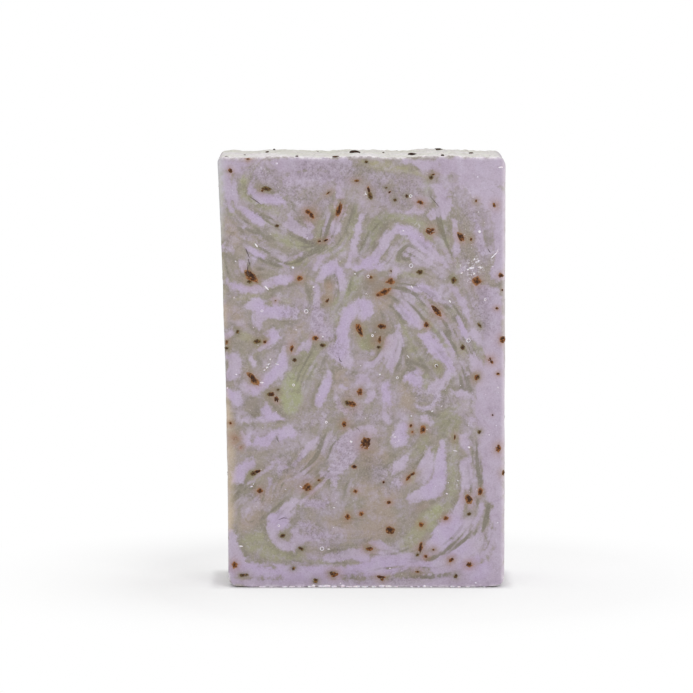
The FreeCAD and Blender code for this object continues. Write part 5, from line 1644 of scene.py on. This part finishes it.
def soap_material():
    """Swirled soap: lavender strokes in taupe soap, with streaks, stains, grain, wear and painted highlights
    on its edges and a painted shadow along its foot.
    """
    m = Nodes("swirled_soap", IOR=1.45, Subsurface_Weight=0.12, Subsurface_Scale=0.0008)
    m.shader.inputs["Subsurface Radius"].default_value = (1.0, 0.8, 0.9)
    swirl, green, warm, yellow = m.channels("swirls")
    orange, olive, cream, chalk = m.channels("stains")
    fine_streak, broad_streak, veil, ash = m.channels("streaks")
    rim, edge_highlight, cool_edge, depth = m.channels("rims")
    grainy, pure, darker_tone_and_foot_shadow, _ = m.channels("grains")
    large = m.noise(7.0, 2.0)
    middle = m.noise(2.2, 3.0, 0.55, 0.4)
    fine = m.noise(0.75, 3.0, 0.6)
    grain = m.noise(0.28, 2.0, 0.6)
    lavender = lavender_soap(m, large, middle, fine, pure, grainy)
    taupe = taupe_soap(m, large, middle, warm, green, yellow)
    share, outline = swirl_shares(m, swirl, veil, fine_streak, broad_streak, middle, fine)
    soap = m.mix(share, taupe, lavender)
    soap = m.mix(outline, soap, COLOURS["swirl outline"])
    soap = streaked(m, soap, share, darker_tone_and_foot_shadow, fine_streak, broad_streak)
    soap = stained(m, soap, orange, olive, cream, chalk, fine)
    soap = grained(m, soap, grain, grainy)
    soap = edged(m, soap, large, rim, edge_highlight, cool_edge, depth, ash)
    m.colour(soap)
    m.roughness(m.step(fine, 0.3, 0.7, 0.46, 0.62))
    m.bump(m.plus(fine, m.times(grain, 0.5)), 0.035)
    return m.material


def herb_material():
    """Dried herb: dark in the middle of a chip, and rusty or olive round its border."""
    m = Nodes("dried_herb", IOR=1.45, Specular_IOR_Level=0.25)
    orange, olive, light, from_middle = m.channels("tones")
    fine = m.noise(0.5, 3.0, 0.65)
    fibre = m.noise(0.22, 3.0, 0.6)
    base = m.mix(light, COLOURS["dark herb"], COLOURS["faded herb"])
    base = m.mix(m.times(orange, m.step(fine, 0.35, 0.6, 0.2, 0.9)), base, COLOURS["orange herb"])
    base = m.mix(m.times(olive, m.step(fine, 0.3, 0.65)), base, COLOURS["olive herb"])
    base = m.mix(m.step(fibre, 0.42, 0.6, 0.0, 0.85), base, COLOURS["herb fibre"])
    speck = m.times(m.step(light, 0.0, 0.12), m.step(fine, 0.56, 0.68, 0.0, 0.7))
    base = m.mix(speck, base, COLOURS["herb speck"])
    ragged = m.plus(from_middle, m.about(fine, 0.5, 1.1))
    border = m.mix(olive, COLOURS["rusty border"], COLOURS["olive border"])
    base = m.mix(m.step(ragged, 0.1, 0.6, 0.8, 0.0), base, COLOURS["dark middle"])
    base = m.mix(m.step(ragged, 0.55, 0.9, 0.0, 0.9), base, border)
    m.colour(base)
    m.roughness(m.step(fine, 0.3, 0.7, 0.55, 0.8))
    m.bump(fibre, 0.08)
    return m.material


# Pale dry soap; also the painted glints and the painted highlights of the foot shreds and bubble rims
def crumb_material():
    m = Nodes("dry_soap_flake_and_painted_glint", IOR=1.45, Subsurface_Weight=0.1, Subsurface_Scale=0.0005)
    fine = m.noise(0.4, 3.0, 0.6)
    m.colour(m.mix(m.step(fine, 0.3, 0.7), COLOURS["light flake and painted glint"], COLOURS["lavender flake"]))
    m.roughness(m.step(fine, 0.3, 0.7, 0.4, 0.6))
    m.bump(fine, 0.05)
    return m.material


# Painted shadow in the cracks, and dark fibres
def crack_material():
    m = Nodes("crack_shade", IOR=1.45)
    fine = m.noise(0.5, 2.0)
    m.colour(m.mix(m.step(fine, 0.3, 0.7), COLOURS["dark crack"], COLOURS["light crack"]))
    m.roughness(0.8)
    m.bump(fine, 0.03)
    return m.material


def floor_material():
    """A pale floor that keeps its shadows near the bar and turns plain white further off."""
    m = Nodes("pale_floor", Roughness=0.9)
    nodes, links = m.tree.nodes, m.tree.links
    m.colour(COLOURS["floor"])
    m.shader.inputs["Specular IOR Level"].default_value = 0.0
    white = nodes.new("ShaderNodeEmission")
    split = nodes.new("ShaderNodeSeparateXYZ")
    links.new(m.place, split.inputs[0])
    beside = m.math("SUBTRACT", m.math("ABSOLUTE", split.outputs["X"]), RIGHT)
    before = m.math("SUBTRACT", m.math("ABSOLUTE", split.outputs["Y"]), HALF_DEPTH)
    glow = m.step(split.outputs["X"], GLOW_TURNS_FROM, GLOW_TURNS_BY, LEFT_GLOW, FLOOR_GLOW)
    clear = m.times(m.step(m.math("MAXIMUM", beside, before), 0.0, CONTACT_REACH), glow)
    distance = nodes.new("ShaderNodeVectorMath")
    distance.operation = "LENGTH"
    links.new(m.place, distance.inputs[0])
    far = m.step(distance.outputs["Value"], WHITE_FROM, WHITE_BY)
    path = nodes.new("ShaderNodeLightPath")
    seen = m.times(path.outputs["Is Camera Ray"], m.math("MAXIMUM", far, clear))
    blend = nodes.new("ShaderNodeMixShader")
    links.new(seen, blend.inputs[0])
    links.new(m.shader.outputs[0], blend.inputs[1])
    links.new(white.outputs[0], blend.inputs[2])
    links.new(blend.outputs[0], nodes["Material Output"].inputs["Surface"])
    return m.material


def set_camera():
    """The camera, with the lens that its distance and the width of the view ask for."""
    data = bpy.data.cameras.new("camera")
    camera = bpy.data.objects.new("camera", data)
    bpy.context.scene.collection.objects.link(camera)
    place = Vector(CAMERA_PLACE) * MM
    aim = Vector(CAMERA_AIM) * MM
    camera.location = place
    camera.rotation_euler = (aim - place).to_track_quat("-Z", "Y").to_euler()
    data.sensor_width = SENSOR
    data.lens = SENSOR * (aim - place).length / (VIEW_WIDTH * MM)
    data.clip_start = 0.01
    data.clip_end = 50
    bpy.context.scene.camera = camera


def add_softbox(name, place, aim, width, height, power):
    """A rectangular light at a place, turned to its aim; lengths in metres, power in watts."""
    data = bpy.data.lights.new(name, "AREA")
    data.shape = "RECTANGLE"
    data.size = width
    data.size_y = height
    data.energy = power
    lamp = bpy.data.objects.new(name, data)
    lamp.location = place
    lamp.rotation_euler = (Vector(aim) - Vector(place)).to_track_quat("-Z", "Y").to_euler()
    bpy.context.scene.collection.objects.link(lamp)


def set_stage():
    """The floor, the world and the lights."""
    half = FLOOR_HALF_SIZE * MM
    corners = [(-half, -half, 0), (half, -half, 0), (half, half, 0), (-half, half, 0)]
    mesh = bpy.data.meshes.new("floor")
    mesh.from_pydata(corners, [], [(0, 1, 2, 3)])
    floor = bpy.data.objects.new("floor", mesh)
    bpy.context.scene.collection.objects.link(floor)
    mesh.materials.append(floor_material())
    world = bpy.data.worlds.new("studio")
    bpy.context.scene.world = world
    world.use_nodes = True
    nodes, links = world.node_tree.nodes, world.node_tree.links
    backdrop = nodes["Background"]
    backdrop.inputs["Color"].default_value = (1, 1, 1, 1)
    path = nodes.new("ShaderNodeLightPath")
    strength = nodes.new("ShaderNodeMix")
    strength.data_type = "FLOAT"
    links.new(path.outputs["Is Camera Ray"], strength.inputs["Factor"])
    strength.inputs["A"].default_value = WORLD_LIGHT
    strength.inputs["B"].default_value = 1.0
    links.new(strength.outputs["Result"], backdrop.inputs["Strength"])
    for name, place, width, height, power in SOFTBOXES:
        add_softbox(name, place, SOFTBOX_AIM, width, height, power)
    bpy.context.scene.view_settings.view_transform = "Standard"


def assign(piece, material):
    """Gives a piece one material."""
    piece.data.materials.clear()
    piece.data.materials.append(material)


def main():
    flecks = face_places()
    soap = soap_material()
    herb = herb_material()
    flake = crumb_material()
    assign(make_bar(flecks), soap)
    assign(make_flecks(flecks), herb)
    assign(make_buds(), herb)
    assign(make_crumbs(), flake)
    assign(make_rims(), flake)
    assign(make_cracks(), crack_material())
    set_stage()
    set_camera()


main()
